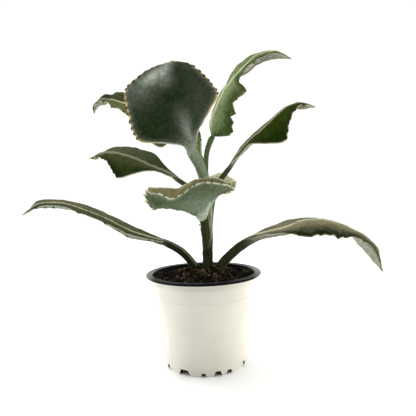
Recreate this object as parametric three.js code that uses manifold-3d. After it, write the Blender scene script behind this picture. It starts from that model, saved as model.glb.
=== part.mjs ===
// A felt bush (a kalanchoe with woolly leaves) growing in a small nursery pot.
// Units are millimetres and +Z is up. Azimuths are seen from the front: +X is right, +Y is away.
// The plant is laid out round the pot's axis, and the group is then moved so that the origin
// lies at the middle of the whole object's footprint, on the surface that the pot stands on.

import * as THREE from 'three';
import { mergeVertices } from 'three/addons/utils/BufferGeometryUtils.js';
import Module from 'manifold-3d';

// Driving dimensions of the pot
const POT_HEIGHT = 80;
const RIM_RADIUS = 52.5;
const MOUTH_RADIUS = 47.6;
const LIP_HEIGHT = 1.7;
const WALL = 1;
const COLLAR_RADIUS = 47.2;
const COLLAR_Z = 62.4;
const COLLAR_STEP = 0.9;
const BODY_TOP_RADIUS = 45.4;
const HEEL_RADIUS = 37.4;
const FOOT_WIDTH = 4.5;
const FOOT_HEIGHT = 4;
const DRAIN_RADIUS = 4;
const DRAIN_CIRCLE = 18;
const DRAIN_COUNT = 6;
const POT_SEGMENTS = 56;

// Notches round the heel: angle in degrees, width in millimetres; the run repeats three times
const HEEL_NOTCHES = [
  { angle: -149, width: 5 },
  { angle: -118, width: 11 },
  { angle: -92, width: 4 },
  { angle: -73, width: 7 },
  { angle: -56, width: 7 },
];
const NOTCH_REPEATS = 3;
const NOTCH_HEIGHT = 4.6;

// Driving dimensions of the soil
const SOIL_EDGE_Z = 77;
const SOIL_MIDDLE_Z = 82.5;
const SOIL_MOUND_SPREAD = 26;
const SOIL_LUMP = 0.8;
const SOIL_SEGMENTS = 44;
const SOIL_RINGS = 9;

// Places at the back where the soil has sunk below the rim: angle and spread in degrees
const SOIL_DIPS = [
  { angle: 117, spread: 20, depth: 7 },
  { angle: 60, spread: 13, depth: 5 },
];

// Driving dimensions of the plant
const GAP = 0.3;
const BLADE_THICKNESS = 1.8;
const MARGIN_THICKNESS = 0.9;
const TOOTH = 1.3;
const ROWS_PER_STATION = 3;
const ACROSS = [-1, -0.66, -0.3, 0, 0.3, 0.66, 1];
const CREASE = 0.22;

// The stem from its buried foot to its growing tip: point and radius
const STEM = [
  { at: [3.6, 0, 58], radius: 3.2 },
  { at: [3.7, 0, 68], radius: 5.2 },
  { at: [3.8, 0, 80], radius: 5 },
  { at: [4.2, 0, 96], radius: 4.7 },
  { at: [4.6, 0, 108], radius: 5 },
  { at: [5.2, 0, 122], radius: 4.2 },
  { at: [5.6, 0, 138], radius: 4 },
  { at: [5.2, 0, 152], radius: 4.2 },
  { at: [4.2, 0, 163], radius: 3.9 },
  { at: [3, 0, 174], radius: 3.1 },
  { at: [2.4, 0, 178], radius: 2.2 },
];

// Leaves. A petiole station has a point on its upper side and a half width; a blade station
// has a point on the midrib and one on each margin. left and right are as seen by someone
// who looks from the stem to the tip. bow lifts the middle of the left and the right half of
// the blade. toothed gives the stations where the teeth begin, and keel says how deep the
// petiole is for its half width.
const LEAVES = {
  leaf_low_left: {
    color: 0x66704c,
    keel: 1.4,
    toothed: { left: 5, right: 5 },
    stations: [
      { at: [2, 0, 76], half: 3.6 },
      { at: [-7, 1, 87.5], half: 4 },
      { at: [-18, 2, 100], half: 4 },
      { at: [-31, 6, 107.5], half: 3.8 },
      { at: [-45, 11, 111], left: [-44, 6, 109], right: [-46, 17, 113] },
      { at: [-70, 17, 118.5], left: [-67, 4, 115], right: [-73, 32, 123] },
      { at: [-94, 24, 130], left: [-90, 6, 127], right: [-100, 44, 135] },
      { at: [-122, 31, 141], left: [-117, 11, 138], right: [-128, 51, 146] },
      { at: [-147, 37, 147.5], left: [-140, 23, 144], right: [-155, 54, 151] },
      { at: [-171, 42, 147], left: [-165, 34, 144], right: [-175, 51, 150] },
      { at: [-188, 44, 136], half: 0.9 },
    ],
  },
  leaf_low_right: {
    color: 0x66704c,
    keel: 1.8,
    toothed: { left: 6, right: 6 },
    stations: [
      { at: [6, 0, 76], half: 3.6 },
      { at: [15, -1, 90], half: 4 },
      { at: [23, -3, 98.5], half: 4 },
      { at: [34, -5, 107.5], half: 4 },
      { at: [46, -9, 113.5], left: [47, -4, 114], right: [44, -14, 111] },
      { at: [57, -13, 116.5], left: [59, -4, 119], right: [55, -20, 114] },
      { at: [73, -18, 121], left: [78, 2, 125], right: [72, -32, 116] },
      { at: [90, -23, 127], left: [98, -3, 127], right: [84, -41, 115] },
      { at: [107, -28, 126], left: [116, -9, 123], right: [99, -46, 116] },
      { at: [121, -32, 121], left: [128, -14, 115], right: [112, -48, 114] },
      { at: [134, -36, 113], left: [135, -21, 104], right: [127, -46, 111] },
      { at: [143, -39, 102], left: [141, -29, 94], right: [137, -46, 102] },
      { at: [146, -41, 84], half: 0.9 },
    ],
  },
  leaf_front_low: {
    color: 0x7f8f78,
    keel: 1.6,
    toothed: { left: 6, right: 6 },
    stations: [
      { at: [5, 0, 106], half: 3 },
      { at: [3, -9, 123], half: 3.8 },
      { at: [2, -17, 132], half: 4.4 },
      { at: [0, -22, 135.5], left: [12, -25, 145.5], right: [5, -18, 153] },
      { at: [-4, -25, 137.5], left: [21, -33, 152.5], right: [24, -20, 160], bow: [3, 0] },
      { at: [-9, -30, 139.5], left: [28, -40, 154], right: [26, -20, 159], bow: [3, 0] },
      { at: [-15, -36, 141], left: [19, -48, 158], right: [14, -21, 164.5] },
      { at: [-21, -43, 141.5], left: [-1, -54, 159], right: [-4, -22, 164] },
      { at: [-26, -49, 142], left: [-19, -60, 148], right: [-20, -25, 157] },
      { at: [-30, -55, 142], left: [-31, -66, 152], right: [-33, -36, 157] },
      { at: [-33, -58, 141.5], left: [-40, -68, 153], right: [-41, -46, 157] },
      { at: [-35, -60, 140.5], left: [-40, -66, 145], right: [-38, -56, 148] },
      { at: [-36, -61, 139.5], half: 0.9 },
    ],
  },
  leaf_back_low: {
    color: 0x8d8562,
    keel: 1.7,
    toothed: { left: 6, right: 6 },
    stations: [
      { at: [5, 0, 107], half: 3 },
      { at: [6, 9, 122], half: 3.6 },
      { at: [9, 20, 142], half: 3.4 },
      { at: [12, 31, 158], left: [6, 31, 158], right: [18, 30, 158] },
      { at: [14, 43, 170], left: [-3, 42, 164], right: [31, 40, 164] },
      { at: [20, 58, 175], left: [-1, 60, 167], right: [36, 54, 166] },
      { at: [23, 75, 173], left: [5, 80, 164], right: [38, 71, 164] },
      { at: [24, 91, 165], left: [13, 95, 157], right: [34, 87, 156] },
      { at: [27, 103, 153], half: 0.9 },
    ],
  },
  leaf_mid_left: {
    color: 0x5c6b3c,
    keel: 1.7,
    toothed: { left: 7, right: 6 },
    stations: [
      { at: [5, 0, 150], half: 2.2 },
      { at: [-8, 2, 159], half: 2.6 },
      { at: [-19, 5, 166], half: 2.6 },
      { at: [-30, 9, 173], left: [-31, 4, 170], right: [-34, 14, 180] },
      { at: [-41, 12, 178], left: [-41, 1, 174], right: [-45, 27, 193] },
      { at: [-54, 15, 184], left: [-51, -4, 174], right: [-56, 36, 198] },
      { at: [-68, 19, 190], left: [-65, 0, 171], right: [-71, 41, 203] },
      { at: [-81, 22, 194], left: [-77.5, 3, 169.5], right: [-86, 43, 204] },
      { at: [-94, 25, 196], left: [-88.5, 12, 184.5], right: [-97, 39, 200] },
      { at: [-102.5, 27, 194], left: [-100, 22, 191], right: [-105, 34, 190.5], bow: [0, 6] },
      { at: [-111, 29, 191], half: 0.9 },
    ],
  },
  leaf_mid_right: {
    color: 0x4b5c2e,
    keel: 1.7,
    toothed: { left: 6, right: 6 },
    stations: [
      { at: [5, 0, 150], half: 2.2 },
      { at: [13, -1, 160], half: 2.4 },
      { at: [23, -5, 173], half: 2.4 },
      { at: [32, -9, 185], left: [32.3, -5, 187], right: [34, -12, 184] },
      { at: [42.5, -15, 196], left: [41.2, -8, 198.2], right: [44, -26, 192.5] },
      { at: [54, -20, 205.5], left: [54, -12, 209], right: [57, -33, 191] },
      { at: [65, -25, 215], left: [65.5, -18, 217.3], right: [70, -37, 192.5] },
      { at: [75, -30, 222], left: [79, -8, 226.5], right: [73, -41, 208] },
      { at: [85, -34, 223], left: [88, -20, 221.5], right: [82.5, -38, 220], bow: [7, 0] },
      { at: [95, -38, 219], half: 0.9 },
    ],
  },
  leaf_front_high: {
    color: 0x4e5c4a,
    keel: 1.7,
    toothed: { left: 7, right: 6 },
    stations: [
      { at: [4, 0, 161], half: 2.6 },
      { at: [2, -9, 169], half: 4 },
      { at: [-1, -20, 179], half: 4.4 },
      { at: [-6, -34, 188], half: 4.8 },
      { at: [-9, -45, 194], left: [-1, -44, 200], right: [-15, -43, 190] },
      { at: [-12, -57, 204], left: [4, -50, 207], right: [-29, -50, 191] },
      { at: [-15, -69, 214], left: [10, -57, 215], right: [-46, -55, 193] },
      { at: [-16, -78, 222], left: [15, -65, 223], right: [-51.5, -64, 211.5] },
      { at: [-17, -84, 230], left: [9, -75, 230], right: [-51, -73, 224.3] },
      { at: [-17, -86, 236], left: [-0.5, -83, 236.6], right: [-40.2, -81, 231.8] },
      { at: [-16, -84, 241], left: [-9.8, -84, 240.4], right: [-26, -84, 238.4] },
    ],
  },
  leaf_top_left: {
    color: 0x62703f,
    keel: 1.7,
    toothed: { left: 6, right: 6 },
    stations: [
      { at: [3, 0, 170], half: 2 },
      { at: [-1, 1.5, 181], half: 2.2 },
      { at: [-7, 3, 191], half: 2.4 },
      { at: [-14, 6, 201], half: 2.4 },
      { at: [-22, 9, 209], left: [-26, 5, 202], right: [-23, 14, 213] },
      { at: [-30, 12, 215], left: [-36, 3, 196], right: [-35, 27, 226] },
      { at: [-40, 16, 223], left: [-47, 0, 202], right: [-42, 35, 238] },
      { at: [-55, 20, 234], left: [-59, 3, 217], right: [-58, 43, 252] },
      { at: [-70, 25, 242], left: [-71, 9, 231], right: [-75, 48, 261] },
      { at: [-85, 29, 248], left: [-84, 15, 238], right: [-88, 47, 261] },
      { at: [-92, 31.5, 250], left: [-90.5, 24, 244.5], right: [-97, 46, 249], bow: [0, 14] },
      { at: [-99, 34, 251], left: [-99, 28, 247], right: [-103.5, 44, 247], bow: [0, 9] },
      { at: [-108, 37, 246], left: [-107.5, 34, 243], right: [-107, 40, 241], bow: [0, 4] },
      { at: [-107, 35, 237], half: 0.9 },
    ],
  },
  leaf_top_right: {
    color: 0x5f7a45,
    keel: 1.7,
    toothed: { left: 7, right: 7 },
    stations: [
      { at: [3, 0, 170], half: 2 },
      { at: [3.9, -1.2, 185], half: 2.2 },
      { at: [6, -1.5, 194], half: 2.3 },
      { at: [10, -3, 203], half: 2.3 },
      { at: [10, -4, 211], left: [9, 3, 214], right: [18, -10, 202] },
      { at: [12, -5, 220], left: [11, 6, 225], right: [28, -17, 203] },
      { at: [16, -8, 230], left: [15, 9, 236], right: [29, -22, 217] },
      { at: [22, -10, 242], left: [21.3, 9, 248.7], right: [31, -27, 228] },
      { at: [26, -11.5, 247], left: [26, 8, 253], right: [39.5, -29, 236.5], bow: [2, 0] },
      { at: [30, -13, 252], left: [35, 6, 257.5], right: [35.5, -22, 246], bow: [15, 0] },
      { at: [39, -17, 260], left: [46.5, 0, 261.5], right: [41, -22, 255], bow: [18, 0] },
      { at: [50, -21, 268], left: [53.5, -5, 266], right: [49.5, -27, 261.5], bow: [12, 0] },
      { at: [62, -25, 270], left: [64, -14, 267], right: [61, -30, 266], bow: [7, 0] },
      { at: [71, -28, 267], left: [73, -21, 265], right: [69.5, -32, 264.5], bow: [3, 0] },
      { at: [78, -31, 261], half: 0.9 },
    ],
  },
  bud_leaf_left: {
    color: 0x7d9a4a,
    keel: 1.7,
    toothed: { left: 3, right: 3 },
    stations: [
      { at: [2.8, 0, 176.5], half: 1.3 },
      { at: [2.4, 0.4, 183], half: 1.5 },
      { at: [0.2, 3, 191], left: [1.4, -1.4, 192], right: [0.4, 7.6, 192] },
      { at: [-1.4, 3.8, 199], left: [1.6, -1.8, 200], right: [0.6, 8.4, 200] },
      { at: [-1.4, 3.2, 206], left: [0.8, -0.4, 206], right: [0.6, 6.6, 207] },
      { at: [-0.8, 2.4, 212], half: 0.7 },
    ],
  },
  bud_leaf_right: {
    color: 0x7d9a4a,
    keel: 1.7,
    toothed: { left: 3, right: 3 },
    stations: [
      { at: [3.2, 2.4, 175], half: 1.2 },
      { at: [4.2, 5, 181], half: 1.4 },
      { at: [5.6, 7.4, 187], left: [5, 10.2, 188], right: [4, 4.8, 188] },
      { at: [6, 8, 192], left: [4.8, 10.8, 193], right: [3.8, 5, 193] },
      { at: [5.4, 7.6, 197], half: 0.7 },
    ],
  },
};

const wasm = await Module();
wasm.setup();

// Turning meshes into solids and back

function toSolid(geometry) {
  const bare = geometry.clone();
  bare.deleteAttribute('normal');
  bare.deleteAttribute('uv');
  const merged = mergeVertices(bare);
  return new wasm.Manifold(new wasm.Mesh({
    numProp: 3,
    vertProperties: new Float32Array(merged.attributes.position.array),
    triVerts: new Uint32Array(merged.index.array),
  }));
}

function toGeometry(solid) {
  const mesh = solid.getMesh();
  const geometry = new THREE.BufferGeometry();
  geometry.setAttribute('position', new THREE.BufferAttribute(mesh.vertProperties, 3));
  geometry.setIndex(new THREE.BufferAttribute(mesh.triVerts, 1));
  geometry.computeVertexNormals();
  return geometry;
}

// A closed skin over a run of rings that all have the same number of points, each ring
// running anticlockwise as seen from the far end of the run
function loft(rings) {
  const count = rings[0].length;
  const positions = [];
  const index = [];
  for (const ring of rings) {
    for (const point of ring) positions.push(point.x, point.y, point.z);
  }
  for (let row = 0; row < rings.length - 1; row += 1) {
    for (let k = 0; k < count; k += 1) {
      const a = row * count + k;
      const b = row * count + (k + 1) % count;
      index.push(a, b, b + count, a, b + count, a + count);
    }
  }
  const last = (rings.length - 1) * count;
  for (const [start, flip] of [[0, true], [last, false]]) {
    const ring = rings[start / count];
    const middle = new THREE.Vector3();
    for (const point of ring) middle.addScaledVector(point, 1 / count);
    const centre = positions.length / 3;
    positions.push(middle.x, middle.y, middle.z);
    for (let k = 0; k < count; k += 1) {
      const a = start + k;
      const b = start + (k + 1) % count;
      if (flip) index.push(centre, b, a);
      else index.push(centre, a, b);
    }
  }
  const geometry = new THREE.BufferGeometry();
  geometry.setAttribute('position', new THREE.Float32BufferAttribute(positions, 3));
  geometry.setIndex(index);
  return geometry;
}

// Pot

function potGeometry() {
  const plate = FOOT_HEIGHT;
  const footInner = HEEL_RADIUS - FOOT_WIDTH;
  const outline = [
    [0, plate],
    [footInner - FOOT_HEIGHT * 0.35, plate],
    [footInner, 0],
    [HEEL_RADIUS - 0.8, 0],
    [HEEL_RADIUS, 0.8],
    [BODY_TOP_RADIUS, COLLAR_Z],
    [BODY_TOP_RADIUS + COLLAR_STEP, COLLAR_Z + 0.8],
    [COLLAR_RADIUS, POT_HEIGHT - LIP_HEIGHT - 0.5],
    [COLLAR_RADIUS + 0.5, POT_HEIGHT - LIP_HEIGHT],
    [RIM_RADIUS - 0.4, POT_HEIGHT - LIP_HEIGHT],
    [RIM_RADIUS, POT_HEIGHT - LIP_HEIGHT + 0.4],
    [RIM_RADIUS, POT_HEIGHT - 0.6],
    [RIM_RADIUS - 0.6, POT_HEIGHT],
    [MOUTH_RADIUS - 0.4, POT_HEIGHT],
    [MOUTH_RADIUS - 1.2, POT_HEIGHT - 0.8],
    [BODY_TOP_RADIUS + COLLAR_STEP - WALL, COLLAR_Z + 0.8],
    [BODY_TOP_RADIUS - WALL, COLLAR_Z],
    [HEEL_RADIUS - WALL, WALL + 0.6],
    [HEEL_RADIUS - WALL - 0.6, WALL],
    [footInner + WALL * 0.8, WALL],
    [footInner - FOOT_HEIGHT * 0.35 + WALL * 0.8, plate + WALL],
    [0, plate + WALL],
  ];
  const profile = outline.map(([radius, z]) => new THREE.Vector2(radius, z));
  const lathe = new THREE.LatheGeometry(profile, POT_SEGMENTS);
  lathe.rotateX(Math.PI / 2);
  let pot = toSolid(lathe);
  for (let turn = 0; turn < NOTCH_REPEATS; turn += 1) {
    for (const notch of HEEL_NOTCHES) {
      const azimuth = THREE.MathUtils.degToRad(notch.angle + (360 / NOTCH_REPEATS) * turn);
      pot = pot.subtract(toSolid(notchGeometry(notch.width, azimuth)));
    }
  }
  for (let k = 0; k < DRAIN_COUNT; k += 1) {
    const azimuth = (2 * Math.PI * k) / DRAIN_COUNT;
    const hole = new THREE.CylinderGeometry(DRAIN_RADIUS, DRAIN_RADIUS, 4 * WALL, 16);
    hole.rotateX(Math.PI / 2);
    hole.translate(DRAIN_CIRCLE * Math.cos(azimuth), DRAIN_CIRCLE * Math.sin(azimuth), plate);
    pot = pot.subtract(toSolid(hole));
  }
  return toGeometry(pot);
}

// A wedge with sloping sides that cuts one notch through the heel and the foot ring
function notchGeometry(width, azimuth) {
  const shape = new THREE.Shape();
  shape.moveTo(-width / 2, -1);
  shape.lineTo(width / 2, -1);
  shape.lineTo(width * 0.38, NOTCH_HEIGHT);
  shape.lineTo(-width * 0.38, NOTCH_HEIGHT);
  shape.closePath();
  const reach = FOOT_WIDTH + 3;
  const wedge = new THREE.ExtrudeGeometry(shape, { depth: reach, bevelEnabled: false });
  wedge.rotateX(Math.PI / 2);
  wedge.translate(0, HEEL_RADIUS + 2, 0);
  wedge.rotateZ(azimuth - Math.PI / 2);
  return wedge;
}

// Soil

function soilHeight(x, y) {
  const radius = Math.hypot(x, y);
  const azimuth = THREE.MathUtils.radToDeg(Math.atan2(y, x));
  const share = Math.min(1, radius / MOUTH_RADIUS);
  let edge = SOIL_EDGE_Z;
  for (const dip of SOIL_DIPS) {
    edge -= dip.depth * share ** 3 * Math.exp(-(((azimuth - dip.angle) / dip.spread) ** 2));
  }
  const mound = Math.exp(-((radius / SOIL_MOUND_SPREAD) ** 2));
  const broad = Math.sin(x * 0.31 + 1.1) * Math.cos(y * 0.27 - 0.4);
  const fine = 0.6 * Math.sin(x * 0.13 - y * 0.52 + 2);
  return edge + (SOIL_MIDDLE_Z - edge) * mound + SOIL_LUMP * (broad + fine);
}

// The inside radius of the pot's wall at a height, with the step below the collar
function potInnerRadius(z) {
  const collarFoot = COLLAR_Z + 0.8;
  if (z >= collarFoot) {
    const rise = (z - collarFoot) / (POT_HEIGHT - 0.8 - collarFoot);
    const foot = BODY_TOP_RADIUS + COLLAR_STEP - WALL;
    return foot + (MOUTH_RADIUS - 1.2 - foot) * rise;
  }
  const rise = Math.min(1, (z - WALL) / (COLLAR_Z - WALL));
  return HEEL_RADIUS - WALL + (BODY_TOP_RADIUS - HEEL_RADIUS) * rise;
}

// Rings from the middle of the surface out to the wall, then down the wall to the plate
function soilGeometry() {
  const bottom = FOOT_HEIGHT + WALL + GAP;
  const rings = [];
  for (let ring = 1; ring <= SOIL_RINGS; ring += 1) {
    rings.push({ share: ring / SOIL_RINGS, level: 'surface' });
  }
  for (const level of [COLLAR_Z + 0.8, COLLAR_Z, bottom]) rings.push({ share: 1, level });
  const positions = [0, 0, soilHeight(0, 0)];
  for (const { share, level } of rings) {
    for (let k = 0; k < SOIL_SEGMENTS; k += 1) {
      const azimuth = (2 * Math.PI * k) / SOIL_SEGMENTS;
      const wall = level === 'surface' ? potInnerRadius(SOIL_EDGE_Z) - 0.4 : potInnerRadius(level);
      const x = share * (wall - GAP) * Math.cos(azimuth);
      const y = share * (wall - GAP) * Math.sin(azimuth);
      positions.push(x, y, level === 'surface' ? soilHeight(x, y) : level);
    }
  }
  const index = [];
  const foot = positions.length / 3;
  positions.push(0, 0, bottom);
  const outer = 1 + (rings.length - 1) * SOIL_SEGMENTS;
  for (let k = 0; k < SOIL_SEGMENTS; k += 1) {
    const next = (k + 1) % SOIL_SEGMENTS;
    index.push(0, 1 + k, 1 + next);
    for (let ring = 0; ring < rings.length - 1; ring += 1) {
      const a = 1 + ring * SOIL_SEGMENTS + k;
      const b = 1 + ring * SOIL_SEGMENTS + next;
      index.push(a, a + SOIL_SEGMENTS, b + SOIL_SEGMENTS, a, b + SOIL_SEGMENTS, b);
    }
    index.push(foot, outer + next, outer + k);
  }
  const geometry = new THREE.BufferGeometry();
  geometry.setAttribute('position', new THREE.Float32BufferAttribute(positions, 3));
  geometry.setIndex(index);
  return geometry;
}

// Stem

function curveThrough(points) {
  return new THREE.CatmullRomCurve3(points, false, 'catmullrom');
}

function stemGeometry(grow) {
  const line = curveThrough(STEM.map(({ at }) => new THREE.Vector3(...at)));
  const radii = curveThrough(STEM.map(({ radius }) => new THREE.Vector3(radius, 0, 0)));
  const rows = (STEM.length - 1) * 2;
  const sides = 14;
  const rings = [];
  for (let row = 0; row <= rows; row += 1) {
    const centre = line.getPoint(row / rows);
    const radius = radii.getPoint(row / rows).x + grow;
    const ring = [];
    for (let k = 0; k < sides; k += 1) {
      const turn = (2 * Math.PI * k) / sides;
      const out = new THREE.Vector3(Math.cos(turn), Math.sin(turn), 0);
      ring.push(centre.clone().addScaledVector(out, radius));
    }
    rings.push(ring);
  }
  rings[0].forEach((point) => { point.z -= grow; });
  rings[rows].forEach((point) => { point.z += grow; });
  return loft(rings);
}

// Leaves

// How far a point has gone from the midrib to one margin, for u from -1 to 1: it is 0 from the
// other margin to the midrib and 1 at its own margin, with a rounded bend
function ramp(u) {
  const bend = (v) => (v + Math.sqrt(v * v + CREASE * CREASE)) / 2;
  const rise = (v) => (bend(v) - bend(-1)) / (bend(1) - bend(-1));
  return rise(u) - rise(0) * (1 - u * u) ** 2;
}

function leafRails(stations) {
  const middle = stations.map(({ at }) => new THREE.Vector3(...at));
  const heading = middle[middle.length - 1].clone().sub(middle[0]).setZ(0).normalize();
  const sideways = new THREE.Vector3(-heading.y, heading.x, 0);
  const margin = (name, sign) => stations.map((station, k) => (
    station[name]
      ? new THREE.Vector3(...station[name])
      : middle[k].clone().addScaledVector(sideways, sign * station.half)
  ));
  return {
    middle: curveThrough(middle),
    left: curveThrough(margin('left', 1)),
    right: curveThrough(margin('right', -1)),
    bow: curveThrough(stations.map(({ bow = [0, 0] }) => new THREE.Vector3(...bow, 0))),
  };
}

// A point of the leaf's upper side: t runs from stem to tip, u from the right margin to the left
function leafPoint(rails, t, u, tooth) {
  const centre = rails.middle.getPoint(t);
  const left = rails.left.getPoint(t).sub(centre);
  const right = rails.right.getPoint(t).sub(centre);
  const bow = rails.bow.getPoint(t);
  left.addScaledVector(left.clone().normalize(), tooth.left);
  right.addScaledVector(right.clone().normalize(), tooth.right);
  centre.z += (u > 0 ? bow.x : bow.y) * (2 * u) ** 2 * (1 - Math.abs(u));
  return centre.addScaledVector(left, ramp(u)).addScaledVector(right, ramp(-u));
}

// The depth of the leaf below its upper side: a round petiole that runs out as a keel
function leafDepth(leaf, share, half, u) {
  const blade = Math.max(0, (share - leaf.bladeStart) / (1 - leaf.bladeStart));
  const keelHalf = Math.min(half, leaf.petioleHalf);
  const keelDepth = leaf.keel * leaf.petioleHalf * (1 - blade) ** 1.3;
  const across = Math.min(1, Math.abs(u) * half / keelHalf);
  const keel = keelDepth * (1 - across * across) ** (blade > 0 ? 1 : 0.5);
  const edge = MARGIN_THICKNESS + (BLADE_THICKNESS - MARGIN_THICKNESS) * (1 - u * u);
  const slim = Math.min(1, half / (2.2 * MARGIN_THICKNESS));
  return Math.max(keel, edge * slim);
}

function leafGeometry(spec, grow = 0) {
  const rails = leafRails(spec.stations);
  const spans = spec.stations.length - 1;
  const petioles = spec.stations.filter(({ half }) => half > 1);
  const leaf = {
    keel: spec.keel,
    bladeStart: (petioles.length - 1) / spans,
    petioleHalf: petioles[petioles.length - 1].half,
  };
  const rows = spans * ROWS_PER_STATION;
  const still = { left: 0, right: 0 };
  const rings = [];
  for (let row = 0; row <= rows; row += 1) {
    const t = row / rows;
    const before = Math.max(0, t - 0.01);
    const after = Math.min(1, t + 0.01);
    const swing = row % 2 ? -TOOTH : TOOTH;
    const toothAt = (start) => (row > start * ROWS_PER_STATION && row < rows ? swing : 0);
    const tooth = {
      left: toothAt(spec.toothed.left) + grow,
      right: toothAt(spec.toothed.right) + grow,
    };
    const half = leafPoint(rails, t, 1, still).distanceTo(leafPoint(rails, t, -1, still)) / 2;
    const upper = [];
    const lower = [];
    for (const u of ACROSS) {
      const point = leafPoint(rails, t, u, tooth);
      const along = leafPoint(rails, after, u, still).sub(leafPoint(rails, before, u, still));
      const leftward = leafPoint(rails, t, Math.min(1, u + 0.1), still);
      const rightward = leafPoint(rails, t, Math.max(-1, u - 0.1), still);
      const normal = along.clone().cross(leftward.sub(rightward)).normalize();
      const depth = leafDepth(leaf, t, half, u);
      if (row === 0) point.addScaledVector(along.normalize(), -grow);
      upper.push(point.clone().addScaledVector(normal, grow));
      lower.push(point.clone().addScaledVector(normal, -depth - grow));
    }
    rings.push([...lower, ...upper.reverse()]);
  }
  return loft(rings);
}

// Assembly

const stem = toSolid(stemGeometry(0));
const stemSocket = toSolid(stemGeometry(GAP));
const group = new THREE.Group();

function addPart(name, geometry, color, roughness) {
  const material = new THREE.MeshStandardMaterial({ color, roughness, metalness: 0 });
  const mesh = new THREE.Mesh(geometry, material);
  mesh.name = name;
  group.add(mesh);
}

addPart('pot', potGeometry(), 0xf4f4f2, 0.4);

let soil = toSolid(soilGeometry()).subtract(stemSocket);
for (const name of ['leaf_low_left', 'leaf_low_right']) {
  soil = soil.subtract(toSolid(leafGeometry(LEAVES[name], GAP)));
}
addPart('soil', toGeometry(soil), 0x3a2c1e, 0.95);

addPart('main_stem', toGeometry(stem), 0x4a4a34, 0.85);

for (const [name, spec] of Object.entries(LEAVES)) {
  const leaf = toSolid(leafGeometry(spec)).subtract(stemSocket);
  addPart(name, toGeometry(leaf), spec.color, 0.9);
}

// Moving the origin to the middle of the footprint
const extent = new THREE.Box3().setFromObject(group);
const middle = extent.getCenter(new THREE.Vector3());
for (const mesh of group.children) mesh.geometry.translate(-middle.x, -middle.y, -extent.min.z);

export default group;
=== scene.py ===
"""A young felt bush with woolly, toothed leaves in a small nursery pot, on a pale floor."""

import itertools
import math

import bpy
import numpy as np
from mathutils import Matrix, Vector


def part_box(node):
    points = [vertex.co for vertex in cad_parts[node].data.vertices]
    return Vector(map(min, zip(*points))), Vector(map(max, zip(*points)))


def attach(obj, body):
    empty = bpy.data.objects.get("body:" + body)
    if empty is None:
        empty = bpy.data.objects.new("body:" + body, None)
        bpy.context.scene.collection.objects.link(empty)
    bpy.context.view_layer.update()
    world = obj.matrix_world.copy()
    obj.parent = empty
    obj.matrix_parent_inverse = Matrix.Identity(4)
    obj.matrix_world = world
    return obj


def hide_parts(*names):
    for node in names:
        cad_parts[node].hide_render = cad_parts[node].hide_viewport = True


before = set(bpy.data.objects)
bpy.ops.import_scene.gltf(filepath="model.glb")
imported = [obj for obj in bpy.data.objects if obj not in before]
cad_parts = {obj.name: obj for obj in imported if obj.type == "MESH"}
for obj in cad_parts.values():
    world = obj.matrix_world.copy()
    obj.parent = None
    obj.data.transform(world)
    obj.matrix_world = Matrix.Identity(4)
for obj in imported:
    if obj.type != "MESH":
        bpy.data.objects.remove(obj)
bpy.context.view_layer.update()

# Lengths in the tables and the shape code are millimetres round the pot's axis.
MM = 0.001
pot_low, pot_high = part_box("pot")
AXIS = np.array([(pot_low.x + pot_high.x) / 2, (pot_low.y + pot_high.y) / 2, 0.0])

# Pot
POT_HEIGHT = 80.0
RIM_RADIUS = 52.5
MOUTH_RADIUS = 47.6
LIP_Z = 78.3
COLLAR_RADIUS = 47.2
COLLAR_Z = 62.4
BODY_TOP_RADIUS = 45.4
HEEL_RADIUS = 37.4
FLOOR_RADIUS = 31.5
FLOOR_Z = 4.0
WALL = 1.0
DRAIN_HOLES = 6
DRAIN_CIRCLE = 18.0
DRAIN_RADIUS = 4.0
# Notches round a third of the heel: azimuth, width at the foot and height
HEEL_NOTCHES = [(-148, 5, 4.0), (-118, 11, 4.6), (-92.5, 4.5, 3.0), (-74, 7, 4.0), (-58, 6, 3.2)]

# Soil
SOIL_RADIUS = 45.9
SOIL_EDGE_Z = 77.0
SOIL_MIDDLE_Z = 82.5
SOIL_MOUND_SPREAD = 26.0
# Hollows at the edge: azimuth, spread and depth
SOIL_DIPS = [(121, 31, 13), (60, 15, 8)]
SOIL_FOOT_RADIUS = 36.6
SOIL_FOOT_Z = 5.3
CRUMBS = 2300
CRUMBS_BY_STEM = 700
CRUMB_REACH = 45.5
# The first hollow has no crumbs beyond this radius
HOLLOW_START = 22
FIBRES = 340
FIBRE_REACH = 45.0

# Stem: points on its axis and their radii
STEM = [
    ((3.6, 0, 58), 3.2),
    ((3.7, 0, 68), 5.2),
    ((3.8, 0, 80), 5),
    ((4.2, 0, 96), 4.7),
    ((4.6, 0, 108), 5),
    ((5.2, 0, 122), 4.2),
    ((5.6, 0, 138), 4),
    ((5.2, 0, 152), 4.2),
    ((4.2, 0, 163), 3.9),
    ((3, 0, 174), 3.1),
    ((2.4, 0, 178), 2.2),
]
# Heights of its swollen leaf nodes, and the number of felt hairs on it
STEM_NODES = (74, 88, 97, 109, 150, 161, 170)
STEM_HAIRS = 5000

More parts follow.
